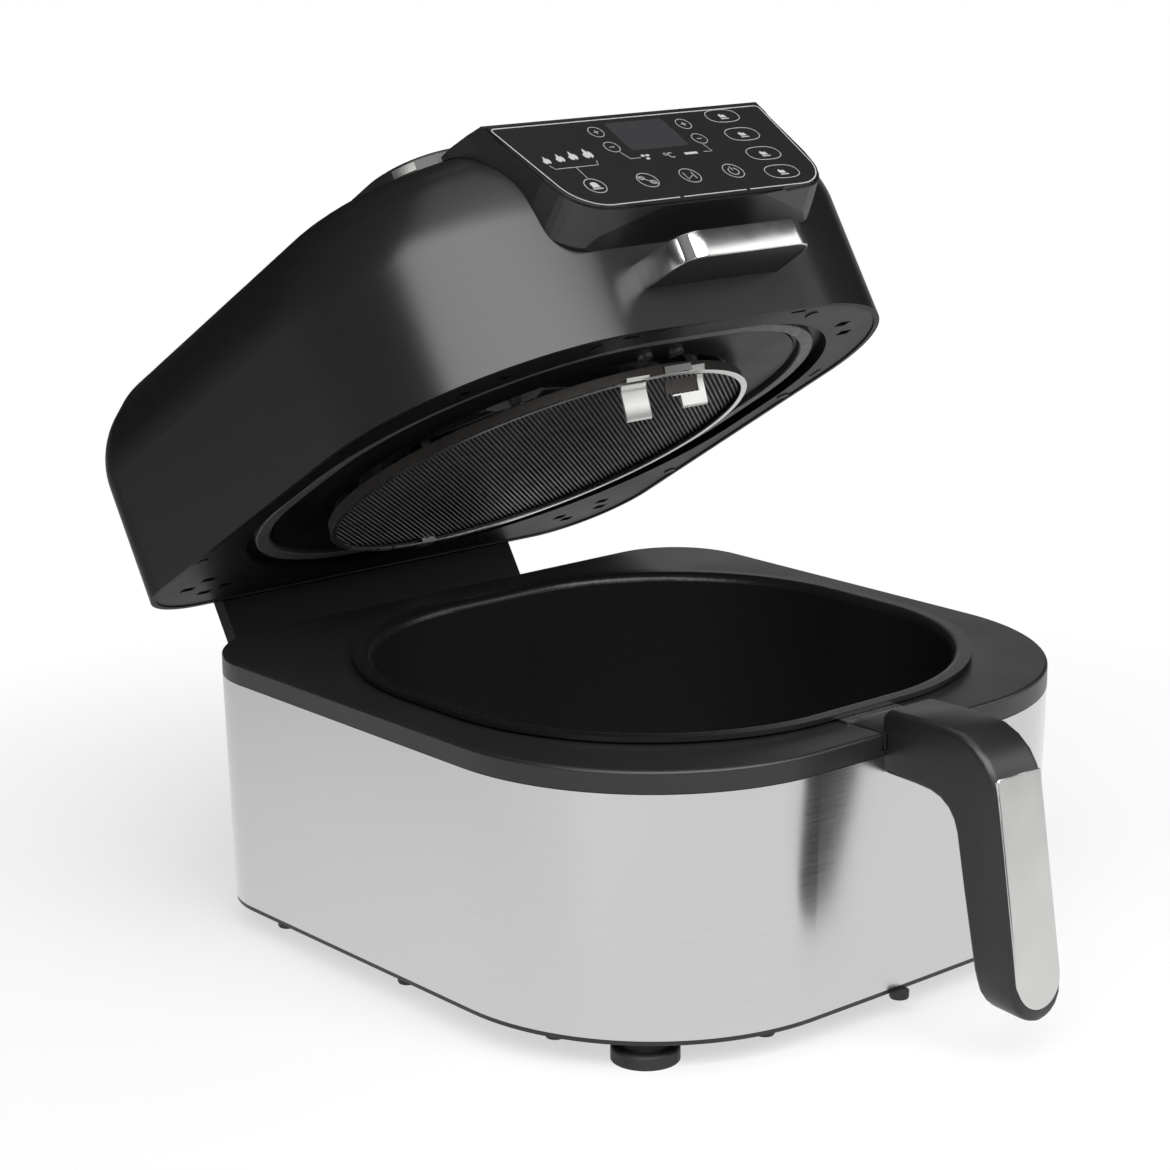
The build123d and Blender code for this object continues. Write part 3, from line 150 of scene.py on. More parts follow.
rubber, shader, at = material("rubber", (0.01, 0.01, 0.01), Roughness=0.65)
mottle(shader, at, 220.0, 3.0, 0.55, 0.75)
coat(rubber, "rubber_feet")
screw_steel, shader, at = material("screw_steel", (0.5, 0.49, 0.47), Metallic=1.0)
mottle(shader, at, 300.0, 2.0, 0.25, 0.45)
coat(screw_steel, "foot_screws")

# Low studs under the plate's edge: dull black bosses with rounded ends, in a row that follows the
# band. Each is a profile spun about its own axis and closed at both ends.
# The body's frame has its y at 0 in the middle of the rounded body.
body_place = Matrix.Translation((0, -0.01071, 0))


def finished(bm, name, place, body, finish):
    """Makes a piece of a bmesh in millimetres: places it, smooths it and ties it to its body."""
    bmesh.ops.transform(bm, matrix=place @ Matrix.Scale(0.001, 4), verts=bm.verts)
    bmesh.ops.recalc_face_normals(bm, faces=bm.faces)
    mesh = bpy.data.meshes.new(name)
    bm.to_mesh(mesh)
    bm.free()
    mesh.shade_smooth()
    mesh.set_sharp_from_angle(angle=radians(35))
    made = bpy.data.objects.new(name, mesh)
    scene.collection.objects.link(made)
    mesh.materials.append(finish)
    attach(made, body)
    return made


def line(bm, points, closed=False):
    """Vertices and edges through points, as spin wants them."""
    verts = [bm.verts.new(point) for point in points]
    following = verts[1:] + verts[:1] if closed else verts[1:]
    return verts + [bm.edges.new(pair) for pair in zip(verts, following)]


bm = bmesh.new()
stud_profile = [(4.2, 12.0), (4.2, 9.4), (3.9, 8.7), (3.2, 8.4), (1.0, 8.3)]
half_spots = [(142.0, 88.0), (142.0, 1.0), (132.6, -84.0), (68.0, -138.0), (0.0, -148.0)]
for x, y in sorted({(side * x, y) for x, y in half_spots for side in (-1, 1)}):
    profile = line(bm, [(x + radius, y, height) for radius, height in stud_profile])
    bmesh.ops.spin(
        bm, geom=profile, cent=(x, y, 0), axis=(0, 0, 1), angle=radians(360), steps=20, use_merge=True
    )
bmesh.ops.remove_doubles(bm, verts=bm.verts, dist=0.001)
bmesh.ops.holes_fill(bm, edges=bm.edges, sides=0)
studs = finished(bm, "edge_studs", body_place, "body", rubber)
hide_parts("plate_studs")

# Outer band: drawn stainless sheet round the whole body, brushed along its length, so the grain is
# stretched round it. It stands on the base plate under the top frame.
brushed_steel, shader, at = material(
    "brushed_steel", (0.56, 0.56, 0.558), Metallic=1.0, Anisotropic=0.75, Anisotropic_Rotation=0.25
)
stretched = at.node("ShaderNodeMapping", Vector=at, Scale=(6.0, 6.0, 2400.0))
lines = at.node("ShaderNodeTexNoise", Vector=stretched, Scale=1.0, Detail=4.0)
broad = at.node("ShaderNodeTexNoise", Vector=at, Scale=9.0, Detail=2.0)
at.link(shader.inputs["Roughness"], lines.ramp(0.3, 0.7, 0.17, 0.26) + (broad - 0.5) * 0.04)
at.link(shader.inputs["Base Color"], at.mix(lines, (0.55, 0.55, 0.548, 1), (0.635, 0.635, 0.632, 1)))
bump = at.node("ShaderNodeBump", Height=lines, Strength=0.05, Distance=0.0002)
at.link(shader.inputs["Normal"], bump)
coat(brushed_steel, "outer_band")

# Inner liner: plain drawn sheet that the pot hangs in. The same grey metal is on the heater dish,
# the motor and its bracket and both fans, which sit inside the lid.
dish_metal, shader, at = material("dish_metal", (0.3, 0.3, 0.295), Metallic=1.0)
mottle(shader, at, 60.0, 3.0, 0.35, 0.5)
coat(dish_metal, "inner_liner", "heater_dish", "motor", "motor_bracket", "fan_blades", "cooling_fan")

# Rear hinge: two black brackets on the base plate, their screws and the pin through their lugs.
# Dampers ride on the pin, and the shaft of the fans is of the same plain steel.
coat(black_plastic, "hinge_bracket")
coat(screw_steel, "bracket_screws", "hinge_pin", "hinge_dampers", "dish_screws", "fan_shaft")

# Pot: drawn sheet with a flange, under an even non-stick coat, satin black with tiny specks.
# It hangs by its flange in the liner and lifts straight out.
nonstick, shader, at = material("nonstick", (0.006, 0.006, 0.006), Roughness=0.3)
shader.inputs["Specular IOR Level"].default_value = 0.4
specks = mottle(shader, at, 1400.0, 3.0, 0.26, 0.36)
bump = at.node("ShaderNodeBump", Height=specks, Strength=0.08, Distance=0.0002)
at.link(shader.inputs["Normal"], bump)
coat(nonstick, "pot")

# Pot bracket and its screws: bent steel that carries the handle. The straps of the heater and the
# hook behind the guard are bent from the same bright sheet.
bracket_steel, shader, at = material("bracket_steel", (0.6, 0.595, 0.58), Metallic=1.0)
mottle(shader, at, 160.0, 3.0, 0.26, 0.34)
coat(bracket_steel, "pot_bracket", "coil_straps", "guard_hook")
coat(screw_steel, "handle_screws")


# Pot handle: one black moulding, an arm over the rim that bends into a leaning bar with a round
# foot. It is lofted through rounded sections, and screwed to the bracket on the pot.
def skin(bm, rings, closed_ends=True):
    """Faces between successive rings of equal length, each a list of points."""
    loops = [[bm.verts.new(point) for point in ring] for ring in rings]
    count = len(loops[0])
    for first, second in zip(loops, loops[1:]):
        for i in range(count):
            bm.faces.new((first[i], first[(i + 1) % count], second[(i + 1) % count], second[i]))
    if closed_ends:
        bm.faces.new(loops[0])
        bm.faces.new(loops[-1])


handle_half = 14.2
edge_round = 3.2
foot_start = 35.0
foot_drop = 13.0
sole_height = 18.0
sole_front = -225.2
sole_back = -204.2
outer = [(-148.6, 134.6), (-151.0, 136.3), (-170.0, 136.6), (-182.0, 136.5), (-190.0, 135.6), (-197.0, 132.6)]
outer += [(-203.0, 127.8), (-207.0, 122.0), (-208.8, 116.0), (-212.0, 98.5), (-216.0, 74.5), (-220.0, 50.5)]
inner = [(-148.6, 111.2), (-151.0, 109.4), (-166.0, 108.8), (-174.0, 108.0), (-179.5, 106.2), (-184.0, 103.0)]
inner += [(-187.0, 98.8), (-188.8, 93.6), (-190.1, 87.0), (-193.0, 72.0), (-196.5, 55.0), (-199.6, 40.0)]
halves = [handle_half - 0.8] + [handle_half] * 11
for turn in (0, 20, 38, 54, 68, 80, 88):
    sine = sin(radians(turn))
    cosine = cos(radians(turn))
    height = foot_start - foot_drop * sine
    thinning = 2.4 * (1 - cosine)
    outer.append((sole_front + (height - sole_height) * 0.1667 + thinning, height))
    inner.append((sole_back + (height - sole_height) * 0.2 - thinning, height + 1.5))
    halves.append(handle_half - 13.0 * (1 - cosine))
sections = []
for (outer_y, outer_z), (inner_y, inner_z), half in zip(outer, inner, halves):
    span = Vector((0, inner_y - outer_y, inner_z - outer_z))
    depth = span.length
    inward = span.normalized()
    edge = min(edge_round, half * 0.8)
    section = []
    for cx, cd, start in (
        (half - edge, edge, 270),
        (half - edge, depth - edge, 0),
        (-half + edge, depth - edge, 90),
        (-half + edge, edge, 180),
    ):
        for step in range(5):
            angle = radians(start + step * 22.5)
            across = cx + edge * cos(angle)
            along = cd + edge * sin(angle)
            section.append(Vector((across, outer_y, outer_z)) + inward * along)
    sections.append(section)
bm = bmesh.new()
skin(bm, sections)
handle = finished(bm, "handle_grip", body_place, "body", black_plastic)
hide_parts("pot_handle")

# Root of the handle: part of the same moulding. It fills the notch in the rim, meets the arm at a
# step, and has finely bevelled edges.
bm = bmesh.new()
root_side = [(-122.0, 119.8), (-122.0, 125.6), (-131.4, 125.6)]
root_side += [(-131.4, 127.0), (-152.2, 127.0), (-152.2, 119.8)]
skin(bm, [[(x, y, z) for y, z in root_side] for x in (-handle_half, handle_half)])
bmesh.ops.bevel(bm, geom=bm.edges[:], offset=0.5, segments=2, affect="EDGES", profile=0.5, material=-1)
finished(bm, "handle_root", body_place, "body", black_plastic)

# Steel plate on the front of the bar: bright sheet with a straight top, a round foot and a fine
# bevel all round, let into the moulding. The bright trims of the grip are of the same steel.
trim_steel, shader, at = material("trim_steel", (0.66, 0.655, 0.645), Metallic=1.0)
mottle(shader, at, 70.0, 3.0, 0.2, 0.27)
plate_half = 12.7
plate_straight = 82.0
plate_top_y = -208.3
plate_top_z = 120.7
lean_y = 0.16444
lean_z = 0.98638
outline = [(plate_half, 0.8), (11.9, 0.0), (-11.9, 0.0), (-plate_half, 0.8)]
for step in range(25):
    angle = radians(180 + step * 7.5)
    outline.append((plate_half * cos(angle), plate_straight - plate_half * sin(angle)))
layers = []
for inset, lift in ((0.0, -1.0), (0.0, 0.1), (0.35, 0.45)):
    layer = []
    for across, down in outline:
        drop = down + (inset if down < 1 else -inset if down > plate_straight else 0)
        x = across * (plate_half - inset) / plate_half
        y = plate_top_y - drop * lean_y - lift * lean_z
        z = plate_top_z - drop * lean_z + lift * lean_y
        layer.append((x, y, z))
    layers.append(layer)
bm = bmesh.new()
skin(bm, layers)
insert = finished(bm, "handle_plate", body_place, "body", trim_steel)
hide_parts("handle_insert")

# Lid shell: dark brushed metal under a satin clear coat, drawn in one piece. Its grain runs round
# the lid, so the pattern is turned with the open lid.
open_angle = 31.7
lid_steel, shader, at = material(
    "lid_steel", (0.02, 0.02, 0.02), Metallic=0.8, Anisotropic=0.7, Anisotropic_Rotation=0.25
)
shader.inputs["Specular Tint"].default_value = (0.3, 0.3, 0.3, 1)
shader.inputs["Specular IOR Level"].default_value = 0.3
turned = at.node("ShaderNodeMapping", Vector=at, Rotation=(radians(open_angle), 0.0, 0.0))
stretched = at.node("ShaderNodeMapping", Vector=turned, Scale=(5.0, 5.0, 1600.0))
lines = at.node("ShaderNodeTexNoise", Vector=stretched, Scale=1.0, Detail=3.0)
at.link(shader.inputs["Roughness"], lines.ramp(0.3, 0.7, 0.29, 0.31))
at.link(shader.inputs["Base Color"], at.mix(lines, (0.048, 0.048, 0.048, 1), (0.055, 0.055, 0.055, 1)))
coat(lid_steel, "lid_shell")

# Underside of the lid, its blackened screws, the heat shield and the hinge arm: all in a duller
# black than the body's mouldings. The arm carries the lid and turns on the hinge pin.
under_plastic, shader, at = material("under_plastic", (0.007, 0.007, 0.007), Roughness=0.45)
shader.inputs["Specular IOR Level"].default_value = 0.1
mottle(shader, at, 18.0, 3.0, 0.4, 0.5)
coat(under_plastic, "lid_underside", "underside_screws", "hinge_arm", "heat_shield")

# Gasket: a dark grey silicone ring that seals the closed lid on the rim. The gland in the back of the
# hinge arm is of black rubber.
gasket_silicone, shader, at = material("gasket_silicone", (0.07, 0.07, 0.07), Roughness=0.5)
mottle(shader, at, 300.0, 3.0, 0.42, 0.6)
coat(gasket_silicone, "gasket")
coat(rubber, "cord_gland")

# Heater coil: a ring of tube in the dish, dark with oxide, held by three bent straps. The
# thermostat has a black case.
# The same dark finish also makes the painted shadow plate beside the guard's latch.
coil_metal, shader, at = material("coil_metal", (0.04, 0.036, 0.033), Metallic=0.6)
mottle(shader, at, 120.0, 4.0, 0.4, 0.65)
coat(coil_metal, "heater_coil")
coat(black_plastic, "thermostat")

# Guard ring: a dull wall round the mesh with a bright flat lip, both spun from sheet.
# The lid's own frame has its origin in the middle of the lid's lower edge, y to its back, z up.
lid_place = Matrix.Translation((0, 0.072076, 0.202487)) @ Matrix.Rotation(radians(-open_angle), 4, "X")
wall_section = [(99.6, -4.3), (100.3, -4.3), (100.3, 0.2), (99.6, 0.2)]
lip_section = [(98.0, -4.9), (100.5, -5.0), (100.9, -4.7), (100.5, -4.4), (98.0, -4.3)]
for name, finish, slot, section in (
    ("guard_wall", coil_metal, "coil_metal", wall_section),
    ("guard_lip", bracket_steel, "bracket_steel", lip_section),
):
    bm = bmesh.new()
    profile = line(bm, [(radius, 0, height) for radius, height in section], closed=True)
    bmesh.ops.spin(
        bm, geom=profile, cent=(0, 0, 0), axis=(0, 0, 1), angle=radians(360), steps=144, use_merge=True
    )
    bmesh.ops.remove_doubles(bm, verts=bm.verts, dist=0.001)
    guard_band = finished(bm, name, lid_place, "lid", finish)
    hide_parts("guard_ring")

# Guard mesh: steel ribs at 45 degrees to the lid's sides, with finer dark cross wires behind them,
# set into the ring 2 mm apart. Each wire is a six-sided rod that ends on the ring.
mesh_steel, shader, at = material("mesh_steel", (0.16, 0.158, 0.153), Metallic=1.0)
mottle(shader, at, 90.0, 2.0, 0.35, 0.5)
mesh_radius = 99.7
mesh_pitch = 2.0
for name, finish, slot, direction, wire_radius, lift in (
    ("guard_ribs", mesh_steel, "mesh_steel", 1, 0.42, -2.4),
    ("guard_wires", coil_metal, "coil_metal", -1, 0.3, -1.7),
):
    bm = bmesh.new()
    along = Vector((1, direction, 0)).normalized()
    aside = Vector((-direction, 1, 0)).normalized()
    turned_rod = Matrix((aside.cross(along), aside, along)).transposed().to_4x4()
    for row in range(-49, 50):
        offset = row * mesh_pitch
        reach = sqrt(mesh_radius**2 - offset**2)
        middle = Matrix.Translation(aside * offset + Vector((0, 0, lift)))
        bmesh.ops.create_cone(
            bm,
            cap_ends=True,
            segments=6,
            radius1=wire_radius,
            radius2=wire_radius,
            depth=2 * reach,
            matrix=middle @ turned_rod,
        )
    guard_net = finished(bm, name, lid_place, "lid", finish)
    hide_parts("guard_mesh")


# Front latch of the guard, bent from sheet: a plain tab on the left, an L-shaped one on the right,
# each hung from a small bar on the ring. Beside the right one, a dark plate is painted shadow: it
# stands where that space lies in shade.
def block(bm, outline, reach):
    """A flat face through the outline's points, extruded by reach."""
    face = bm.faces.new([bm.verts.new(point) for point in outline])
    grown = bmesh.ops.extrude_face_region(bm, geom=[face])
    moved = [item for item in grown["geom"] if isinstance(item, bmesh.types.BMVert)]
    bmesh.ops.translate(bm, vec=reach, verts=moved)


sheet_y = 0.9
sheet_z = 0.15
left_line = [(-97.0, -5.1), (-96.2, -5.6), (-94.9, -8.0), (-93.6, -14.0), (-92.4, -19.4), (-91.7, -20.2)]
strip_line = [(-96.2, -5.6), (-94.9, -8.0), (-94.0, -12.2)]
right_line = [(-94.0, -12.2), (-93.2, -15.6), (-92.7, -17.6), (-92.0, -18.2)]
for name, finish, slot, x0, x1, bend in (
    ("left_tab", bracket_steel, "bracket_steel", -23.4, -9.2, left_line),
    ("right_strip", bracket_steel, "bracket_steel", 20.6, 24.2, strip_line),
    ("right_tab", bracket_steel, "bracket_steel", 9.6, 24.2, right_line),
    ("right_hook", bracket_steel, "bracket_steel", 5.0, 9.6, [(-94.0, -12.2), (-93.9, -12.8)]),
    # Painted shadow: a dark plate in the oxide finish, where the space beside the right tab lies in shade.
    ("latch_shadow_plate", coil_metal, "coil_metal", 2.0, 20.6, [(-95.6, -5.8), (-94.3, -8.4), (-93.6, -11.4)]),
    ("left_bar", bracket_steel, "bracket_steel", -22.6, -9.6, [(-100.6, -3.6), (-99.6, -5.2)]),
    ("middle_bar", mesh_steel, "mesh_steel", -0.6, 15.0, [(-101.4, -1.4), (-100.6, -4.4)]),
    ("right_bar", bracket_steel, "bracket_steel", 13.6, 22.8, [(-100.9, -2.6), (-99.6, -5.2)]),
):
    bm = bmesh.new()
    closed = bend + [(y + sheet_y, z + sheet_z) for y, z in reversed(bend)]
    block(bm, [(x0, y, z) for y, z in closed], (x1 - x0, 0, 0))
    guard_tab = finished(bm, name, lid_place, "lid", finish)
    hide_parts("guard_latch")

# Panel housing and its glass: a black moulding on the lid's front and the glossy touch panel in it.
# The CAD shapes are cut square to the glass, so that they keep a narrow even edge round the border.
# The panel's frame has its origin in the middle of the upper edge, y up the slope, z out of it.
panel_glass, shader, at = material("panel_glass", (0.014, 0.014, 0.0145), Roughness=0.16)
panel_tilt = Matrix.Rotation(radians(60.2), 4, "X")
panel_place = lid_place @ Matrix.Translation((0, -0.1346, 0.1026)) @ panel_tilt
slope_place = panel_place @ Matrix.Scale(0.001, 4)
border_half = 76.2
side_slope = Vector((58.7, -4.9, 0))
corner_x = 54.6
corner_y = -43.9
corner_radius = 17.0
for name, source, finish, slot, margin, flare in (
    ("panel_casing", "panel_housing", black_plastic, "black_plastic", 2.2, 6.0),
    ("panel_face", "control_panel", panel_glass, "panel_glass", 1.2, 0.0),
):
    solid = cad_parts[source]
    bm = bmesh.new()
    bm.from_mesh(solid.data)
    bmesh.ops.transform(bm, matrix=slope_place.inverted() @ solid.matrix_world, verts=bm.verts)
    bmesh.ops.remove_doubles(bm, verts=bm.verts, dist=0.002)
    cuts = []
    for side in (-1, 1):
        across = Vector((side * side_slope.x, side_slope.y, 0)).normalized()
        cuts.append((Vector((side * (border_half + margin), 0, 0)), across))
        for step in range(9):
            angle = radians(-12 - step * 9)
            outward = Vector((side * cos(angle), sin(angle), 0))
            corner = Vector((side * corner_x, corner_y, 0))
            cuts.append((corner + outward * (corner_radius + margin), outward))
    lean = radians(flare)
    for point, outward in cuts:
        cut = bmesh.ops.bisect_plane(
            bm,
            geom=bm.verts[:] + bm.edges[:] + bm.faces[:],
            dist=0.0001,
            plane_co=point,
            plane_no=outward * cos(lean) + Vector((0, 0, 1)) * sin(lean),
            clear_outer=True,
        )
        edges = [item for item in cut["geom_cut"] if isinstance(item, bmesh.types.BMEdge)]
        if edges:
            bmesh.ops.triangle_fill(bm, use_beauty=True, edges=edges)
    bmesh.ops.dissolve_limit(bm, angle_limit=radians(1.5), verts=bm.verts, edges=bm.edges)
    casing = finished(bm, name, panel_place, "lid", finish)
    casing.data.set_sharp_from_angle(angle=radians(16))
    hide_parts(source)

# Display block and control board behind the glass: a black block and a green board, both hidden
# inside the housing.
board_green, shader, at = material("board_green", (0.013, 0.07, 0.033), Roughness=0.5)
coat(board_green, "control_board")
coat(black_plastic, "display_module")

# Marks on the touch panel: pale grey print, a little raised. A border runs round the whole, with
# plain rings, bars and small pictograms in it, and two short breaks in the border's lower run.
marks_paint, shader, at = material("marks_paint", (0.36, 0.36, 0.365), Roughness=0.45)
print_low = 0.3
print_thick = 0.09
print_high = print_low + print_thick
bm = bmesh.new()


def stroke(points, width, closed=False):
    """A ribbon of the given width along points on the panel, in its frame."""
    count = len(points)
    ribbon = []
    for i, point in enumerate(points):
        before = points[i - 1] if closed or i > 0 else point
        after = points[(i + 1) % count] if closed or i < count - 1 else point
        tangent = (Vector(after) - Vector(before)).normalized()
        normal = Vector((-tangent.y, tangent.x)) * width / 2
        ends = []
        for side, height in ((1, print_low), (-1, print_low), (-1, print_high), (1, print_high)):
            ends.append((point[0] + normal.x * side, point[1] + normal.y * side, height))
        ribbon.append(ends)
    if closed:
        ribbon.append(ribbon[0])
    skin(bm, ribbon, closed_ends=not closed)


def arc(cx, cy, rx, ry, start=0.0, end=360.0, steps=28, power=1.0):
    """Points on an ellipse; a power under 1 squares it off."""
    points = []
    for step in range(steps + 1):
        angle = radians(start + (end - start) * step / steps)
        x = rx * abs(cos(angle)) ** power
        y = ry * abs(sin(angle)) ** power
        points.append((cx + (x if cos(angle) > 0 else -x), cy + (y if sin(angle) > 0 else -y)))
    return points


def ring(cx, cy, rx, ry, width, steps=28, power=1.0):
    """A closed ribbon round an ellipse."""
    stroke(arc(cx, cy, rx, ry, steps=steps, power=power)[:-1], width, closed=True)


def fill(points):
    """A flat raised patch with this outline."""
    block(bm, [(x, y, print_low) for x, y in points], (0, 0, print_thick))


border_width = 0.55
top = -3.2
foot = top - 58.7
left_low = []
for step in range(13):
    angle = radians(183 + step * 7.2)
    left_low.append((-53.6 + 18.0 * cos(angle), foot + 18.0 + 18.0 * sin(angle)))
left_top = [(-76.2, top - 1.8), (-75.6, top - 0.5), (-74.2, top)]
left_run = left_low[::-1] + left_top
right_run = [(-x, y) for x, y in reversed(left_run)]
stroke([(-17.6, foot)] + left_run + right_run + [(22.6, foot)], border_width)
stroke([(-15.4, foot), (20.4, foot)], border_width)

# Plus and minus rings on both sides of the display, with thin leads from the minus rings to their
# pictograms, printed like the rest.
for side in (-1, 1):
    for down, upright in ((8.5, True), (20.0, False)):
        cx = side * 25.0
        cy = top - down
        ring(cx, cy, 3.7, 3.7, 0.26)
        stroke([(cx - 1.4, cy), (cx + 1.4, cy)], 0.32)
        if upright:
            stroke([(cx, cy - 1.4), (cx, cy - 0.17)], 0.32)
            stroke([(cx, cy + 0.17), (cx, cy + 1.4)], 0.32)
stroke([(-23.6, top - 24.2), (-21.8, top - 29.3), (-16.2, top - 29.3)], 0.25)
stroke([(23.6, top - 24.2), (24.6, top - 29.6), (19.6, top - 29.6)], 0.25)

# Fan pictogram of three blades, a small ring, an open ring and a bar under the display, all
# printed in the same grey.
for turn in (30, 150, 270):
    cx = -12.8 + 1.5 * cos(radians(turn))
    cy = top - 28.9 + 1.5 * sin(radians(turn))
    fill(arc(cx, cy, 1.1, 0.75, start=turn, end=turn + 360, steps=12)[:-1])
ring(-1.8, top - 28.6, 0.8, 0.8, 0.25, steps=12)
stroke(arc(1.0, top - 29.6, 1.5, 1.7, start=50, end=310, steps=14), 0.35)
fill([(8.6, top - 30.4), (15.8, top - 30.4), (15.8, top - 28.9), (8.6, top - 28.9)])

# Four flames of rising size, and the bracket that joins them to the round key below. Each flame is
# one outline at four sizes.
flame = [(-0.1, -0.5), (0.02, -0.3), (0.16, -0.5), (0.36, -0.3), (0.36, -0.02), (0.22, 0.22)]
flame += [(0.14, 0.04), (0.0, 0.5), (-0.14, 0.22), (-0.2, 0.02), (-0.38, -0.06), (-0.34, -0.38)]
for cx, cy, tall in ((-64.6, -24.6, 5.4), (-57.0, -23.9, 6.0), (-49.6, -23.2, 6.4), (-41.2, -22.6, 7.2)):
    fill([(cx + x * tall * 0.95, top + cy + y * tall) for x, y in flame])
shelf = top - 31.2
stroke([(-65.6, top - 28.4), (-64.4, shelf), (-53.4, shelf), (-41.2, shelf), (-40.0, top - 28.4)], 0.25)
stroke([(-53.4, top - 31.33), (-53.4, top - 39.4)], 0.25)

# Round keys along the lower edge: a printed ring each. In them are a dish, a line between two small
# rings, a play and pause sign and a power sign.
for cx in (-53.4, -24.7, -0.8, 24.2):
    ring(cx, top - 45.0, 5.0, 5.0, 0.3, steps=36)
fill([(-56.2, top - 47.4), (-50.6, top - 47.4), (-50.6, top - 46.8), (-56.2, top - 46.8)])
bowl = [(-55.4, -46.2), (-51.4, -46.2), (-51.8, -43.0), (-53.6, -42.4), (-55.2, -43.2)]
fill([(x, top + y) for x, y in bowl])
stroke([(-28.2, top - 42.0), (-21.2, top - 48.2)], 0.34)
ring(-26.9, top - 43.2, 1.5, 1.1, 0.3, steps=14)
ring(-22.7, top - 46.6, 1.5, 1.1, 0.3, steps=14)
stroke([(-3.2, top - 42.6), (-3.2, top - 47.4), (0.4, top - 45.0)], 0.34)
stroke([(1.4, top - 42.6), (1.4, top - 47.4)], 0.34)
stroke(arc(24.2, top - 45.2, 2.5, 2.5, start=120, end=420, steps=20), 0.34)
stroke([(24.2, top - 41.6), (24.2, top - 44.6)], 0.34)

# Four long keys down the right side: a squared ring each, with a small dish on a line in it, all
# printed.
dish_line = [(-2.2, -2.4), (2.4, -2.4), (2.4, -1.8), (-2.2, -1.8)]
dish = [(-1.6, -1.2), (1.8, -1.2), (1.2, 1.0), (0.2, 0.5), (-1.0, 1.6), (-2.2, 0.6)]
for down, shift in ((5.3, 0.0), (19.8, 0.0), (34.9, 0.0), (49.0, -1.0)):
    cx = 50.6 + shift
    cy = top - down
    ring(cx, cy, 9.2, 4.8, 0.3, steps=44, power=0.8)
    fill([(cx + x, cy + y) for x, y in dish_line])
    fill([(cx + x, cy + y) for x, y in dish])
finished(bm, "panel_marks", panel_place, "lid", marks_paint)

# Display window: a slightly lighter patch with round corners on the glass, like a smoked film.
# It is one outline, extruded very thin.
display_grey, shader, at = material("display_grey", (0.03, 0.03, 0.032), Roughness=0.14)
film_thick = 0.04
bm = bmesh.new()
window = arc(-0.2, top - 13.4, 16.4, 10.4, steps=40, power=0.12)[:-1]
block(bm, [(x, y, print_low) for x, y in window], (0, 0, film_thick))
finished(bm, "display_patch", panel_place, "lid", display_grey)

# Grip and its trim: a black moulding on the lid's front, with a steel strip bent round its sides
# and front. The strip has soft edges and is swept along its bend.
coat(black_plastic, "grip_body")
bend_radius = 13
bend_x = 24.65
bend_y = -164.6
strip_path = [((39.3, -145.0), (0.996, -0.089))]
for step in range(13):
    angle = radians(-5.1 - step * 7.075)
    spot = (bend_x + bend_radius * cos(angle), bend_y + bend_radius * sin(angle))
    strip_path.append((spot, (cos(angle), sin(angle))))
strip_path += [((-x, y), (-nx, ny)) for (x, y), (nx, ny) in reversed(strip_path)]
strip_section = [(1.3, 17.5), (0.7, 17.5), (0.2, 17.7), (0.0, 18.3)]
strip_section += [(0.0, 28.4), (0.2, 29.0), (0.7, 29.2), (1.3, 29.2)]
strip_rings = []
for (x, y), (nx, ny) in strip_path:
    strip_rings.append([(x - nx * inset, y - ny * inset, height) for inset, height in strip_section])
bm = bmesh.new()
skin(bm, strip_rings)
grip_strip = finished(bm, "grip_strip", lid_place, "lid", trim_steel)
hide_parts("grip_trim")

# Top cap and its trims: a black moulding over the lid's top, with two dull steel strips round its
# front corners, a little below its edge. Each strip is a section spun round the corner.
coat(black_plastic, "top_cap")
cap_corner_x = 66.0
cap_corner_y = -74.0
trim_start = radians(-28)
trim_sweep = radians(-19.2)
trim_section = [(31.05, 102.8), (31.7, 102.8), (31.7, 106.4), (31.05, 106.4)]
bm = bmesh.new()
for side in (-1, 1):
    corners = []
    for radius, height in trim_section:
        x = cap_corner_x + radius * cos(trim_start)
        y = cap_corner_y + radius * sin(trim_start)
        corners.append(bm.verts.new((side * x, y, height)))
    bmesh.ops.spin(
        bm,
        geom=[bm.faces.new(corners)],
        cent=(side * cap_corner_x, cap_corner_y, 0),
        axis=(0, 0, 1),
        angle=side * trim_sweep,
        steps=8,
    )
cap_bands = finished(bm, "cap_bands", lid_place, "lid", mesh_steel)
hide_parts("cap_trims")

# Floor: plain, pale and a little glossy. It is white where the camera sees it away from the
# object, and it keeps the object's shadow near it. In reflections it glows with a painted pool of
# light that is bright round a spot in front of the object and fades with distance. This is painted
# reflection, and it sets how bright the steel band reads.
floor_half = 12.0
floor_mesh = bpy.data.meshes.new("floor")
bm = bmesh.new()
bmesh.ops.create_grid(bm, x_segments=1, y_segments=1, size=floor_half)
bm.to_mesh(floor_mesh)
bm.free()
floor = bpy.data.objects.new("floor", floor_mesh)
scene.collection.objects.link(floor)
floor_material, shader, at = material("floor", (0.8, 0.8, 0.8), Roughness=0.3)
rays = at.node("ShaderNodeLightPath")
glow = at.node("ShaderNodeEmission", Color=(1, 1, 1, 1), Strength=1.0)
surface = Socket(floor_material.node_tree, shader.outputs[0])
glossy_rays = Socket(floor_material.node_tree, rays.output.node.outputs["Is Glossy Ray"])
clear_rays = Socket(floor_material.node_tree, rays.output.node.outputs["Is Transmission Ray"])
length = (("operation", "LENGTH"),)
spread = at.node("ShaderNodeVectorMath", output=1, settings=length, Vector=at)
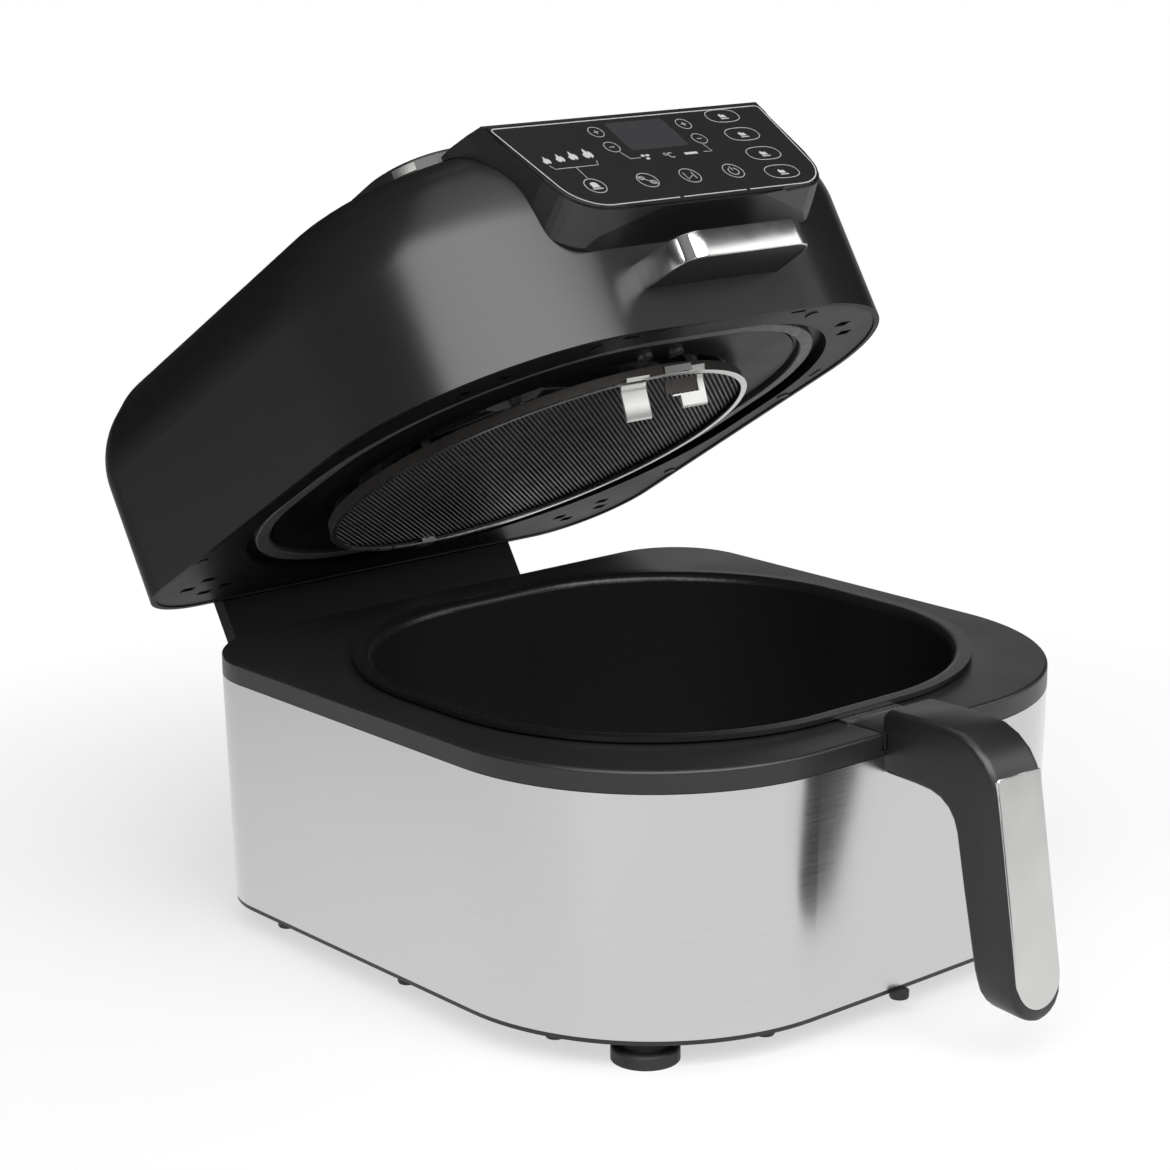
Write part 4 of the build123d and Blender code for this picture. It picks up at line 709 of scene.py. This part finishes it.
# Painted pool of light, seen only by glossy rays: its glow is strongest round a spot in front of the object
# and fades with distance.
painted_pool_coords = at.node("ShaderNodeMapping", Vector=at, Location=(-0.18, 0.25, 0.0))
painted_pool_distance = at.node("ShaderNodeVectorMath", output=1, settings=length, Vector=painted_pool_coords)
direct = rays.math("MAXIMUM", rays, clear_rays) * spread.ramp(0.22, 0.55, 0.6, 1.0)
glow_share = rays.math("MAXIMUM", direct, glossy_rays * painted_pool_distance.ramp(0.4, 1.15, 0.97, 0.05))
mixed = floor_material.node_tree.nodes.new("ShaderNodeMixShader")
at.link(mixed.inputs[0], glow_share)
at.link(mixed.inputs[1], surface)
at.link(mixed.inputs[2], glow)
out = floor_material.node_tree.nodes["Material Output"]
floor_material.node_tree.links.new(mixed.outputs[0], out.inputs["Surface"])
floor_mesh.materials.append(floor_material)

# World: white where the camera or a clear surface sees it, a soft grey in reflections and as a
# light.
world = bpy.data.worlds.new("studio")
scene.world = world
world.use_nodes = True
background = world.node_tree.nodes["Background"]
path = world.node_tree.nodes.new("ShaderNodeLightPath")
camera_ray = Socket(world.node_tree, path.outputs["Is Camera Ray"])
glossy_ray = Socket(world.node_tree, path.outputs["Is Glossy Ray"])
through_ray = Socket(world.node_tree, path.outputs["Is Transmission Ray"])
seen = camera_ray.math("MAXIMUM", camera_ray.math("MAXIMUM", camera_ray, glossy_ray * 0.2), through_ray)
camera_ray.link(background.inputs["Strength"], 0.25 + seen * 0.75)

# Lamps: soft rectangles, a long key in front and above, a fill from the right, one overhead and a
# low one behind.
for name, place, aim, breadth, tall, power in (
    ("key", (-0.62, -1.4, 1.6), (0.0, 0.0, 0.2), 4.0, 1.4, 108.0),
    ("fill", (1.5, -1.1, 0.8), (0.0, 0.0, 0.15), 1.0, 1.0, 6.0),
    ("overhead", (0.1, 0.1, 1.7), (0.0, 0.0, 0.1), 1.4, 1.4, 6.0),
    ("back", (1.7, 1.35, 0.5), (0.0, 0.0, 0.1), 0.9, 0.9, 1.2),
):
    lamp = bpy.data.lights.new(name, "AREA")
    lamp.shape = "RECTANGLE"
    lamp.size = breadth
    lamp.size_y = tall
    lamp.energy = power
    holder = bpy.data.objects.new(name, lamp)
    holder.location = place
    holder.rotation_euler = (Vector(aim) - Vector(place)).to_track_quat("-Z", "Y").to_euler()
    scene.collection.objects.link(holder)

# Camera: from the front left, a little above the rim, with a long lens. Its place, aim and small
# roll were fitted to the photo.
camera_data = bpy.data.cameras.new("camera")
camera_data.sensor_width = 36.0
camera_data.lens = 89.72
camera_data.clip_end = 50.0
camera = bpy.data.objects.new("camera", camera_data)
eye = Vector((-0.8353, -0.92671, 0.4785))
target = Vector((0.0172, 0.05856, 0.1405))
forward = (target - eye).normalized()
right = forward.cross(Vector((0, 0, 1))).normalized()
up = right.cross(forward)
roll = radians(-0.35)
turned_right = right * cos(roll) + up * sin(roll)
turned_up = up * cos(roll) - right * sin(roll)
facing = Matrix((turned_right, turned_up, -forward)).transposed().to_4x4()
camera.matrix_world = Matrix.Translation(eye) @ facing
scene.collection.objects.link(camera)
scene.camera = camera
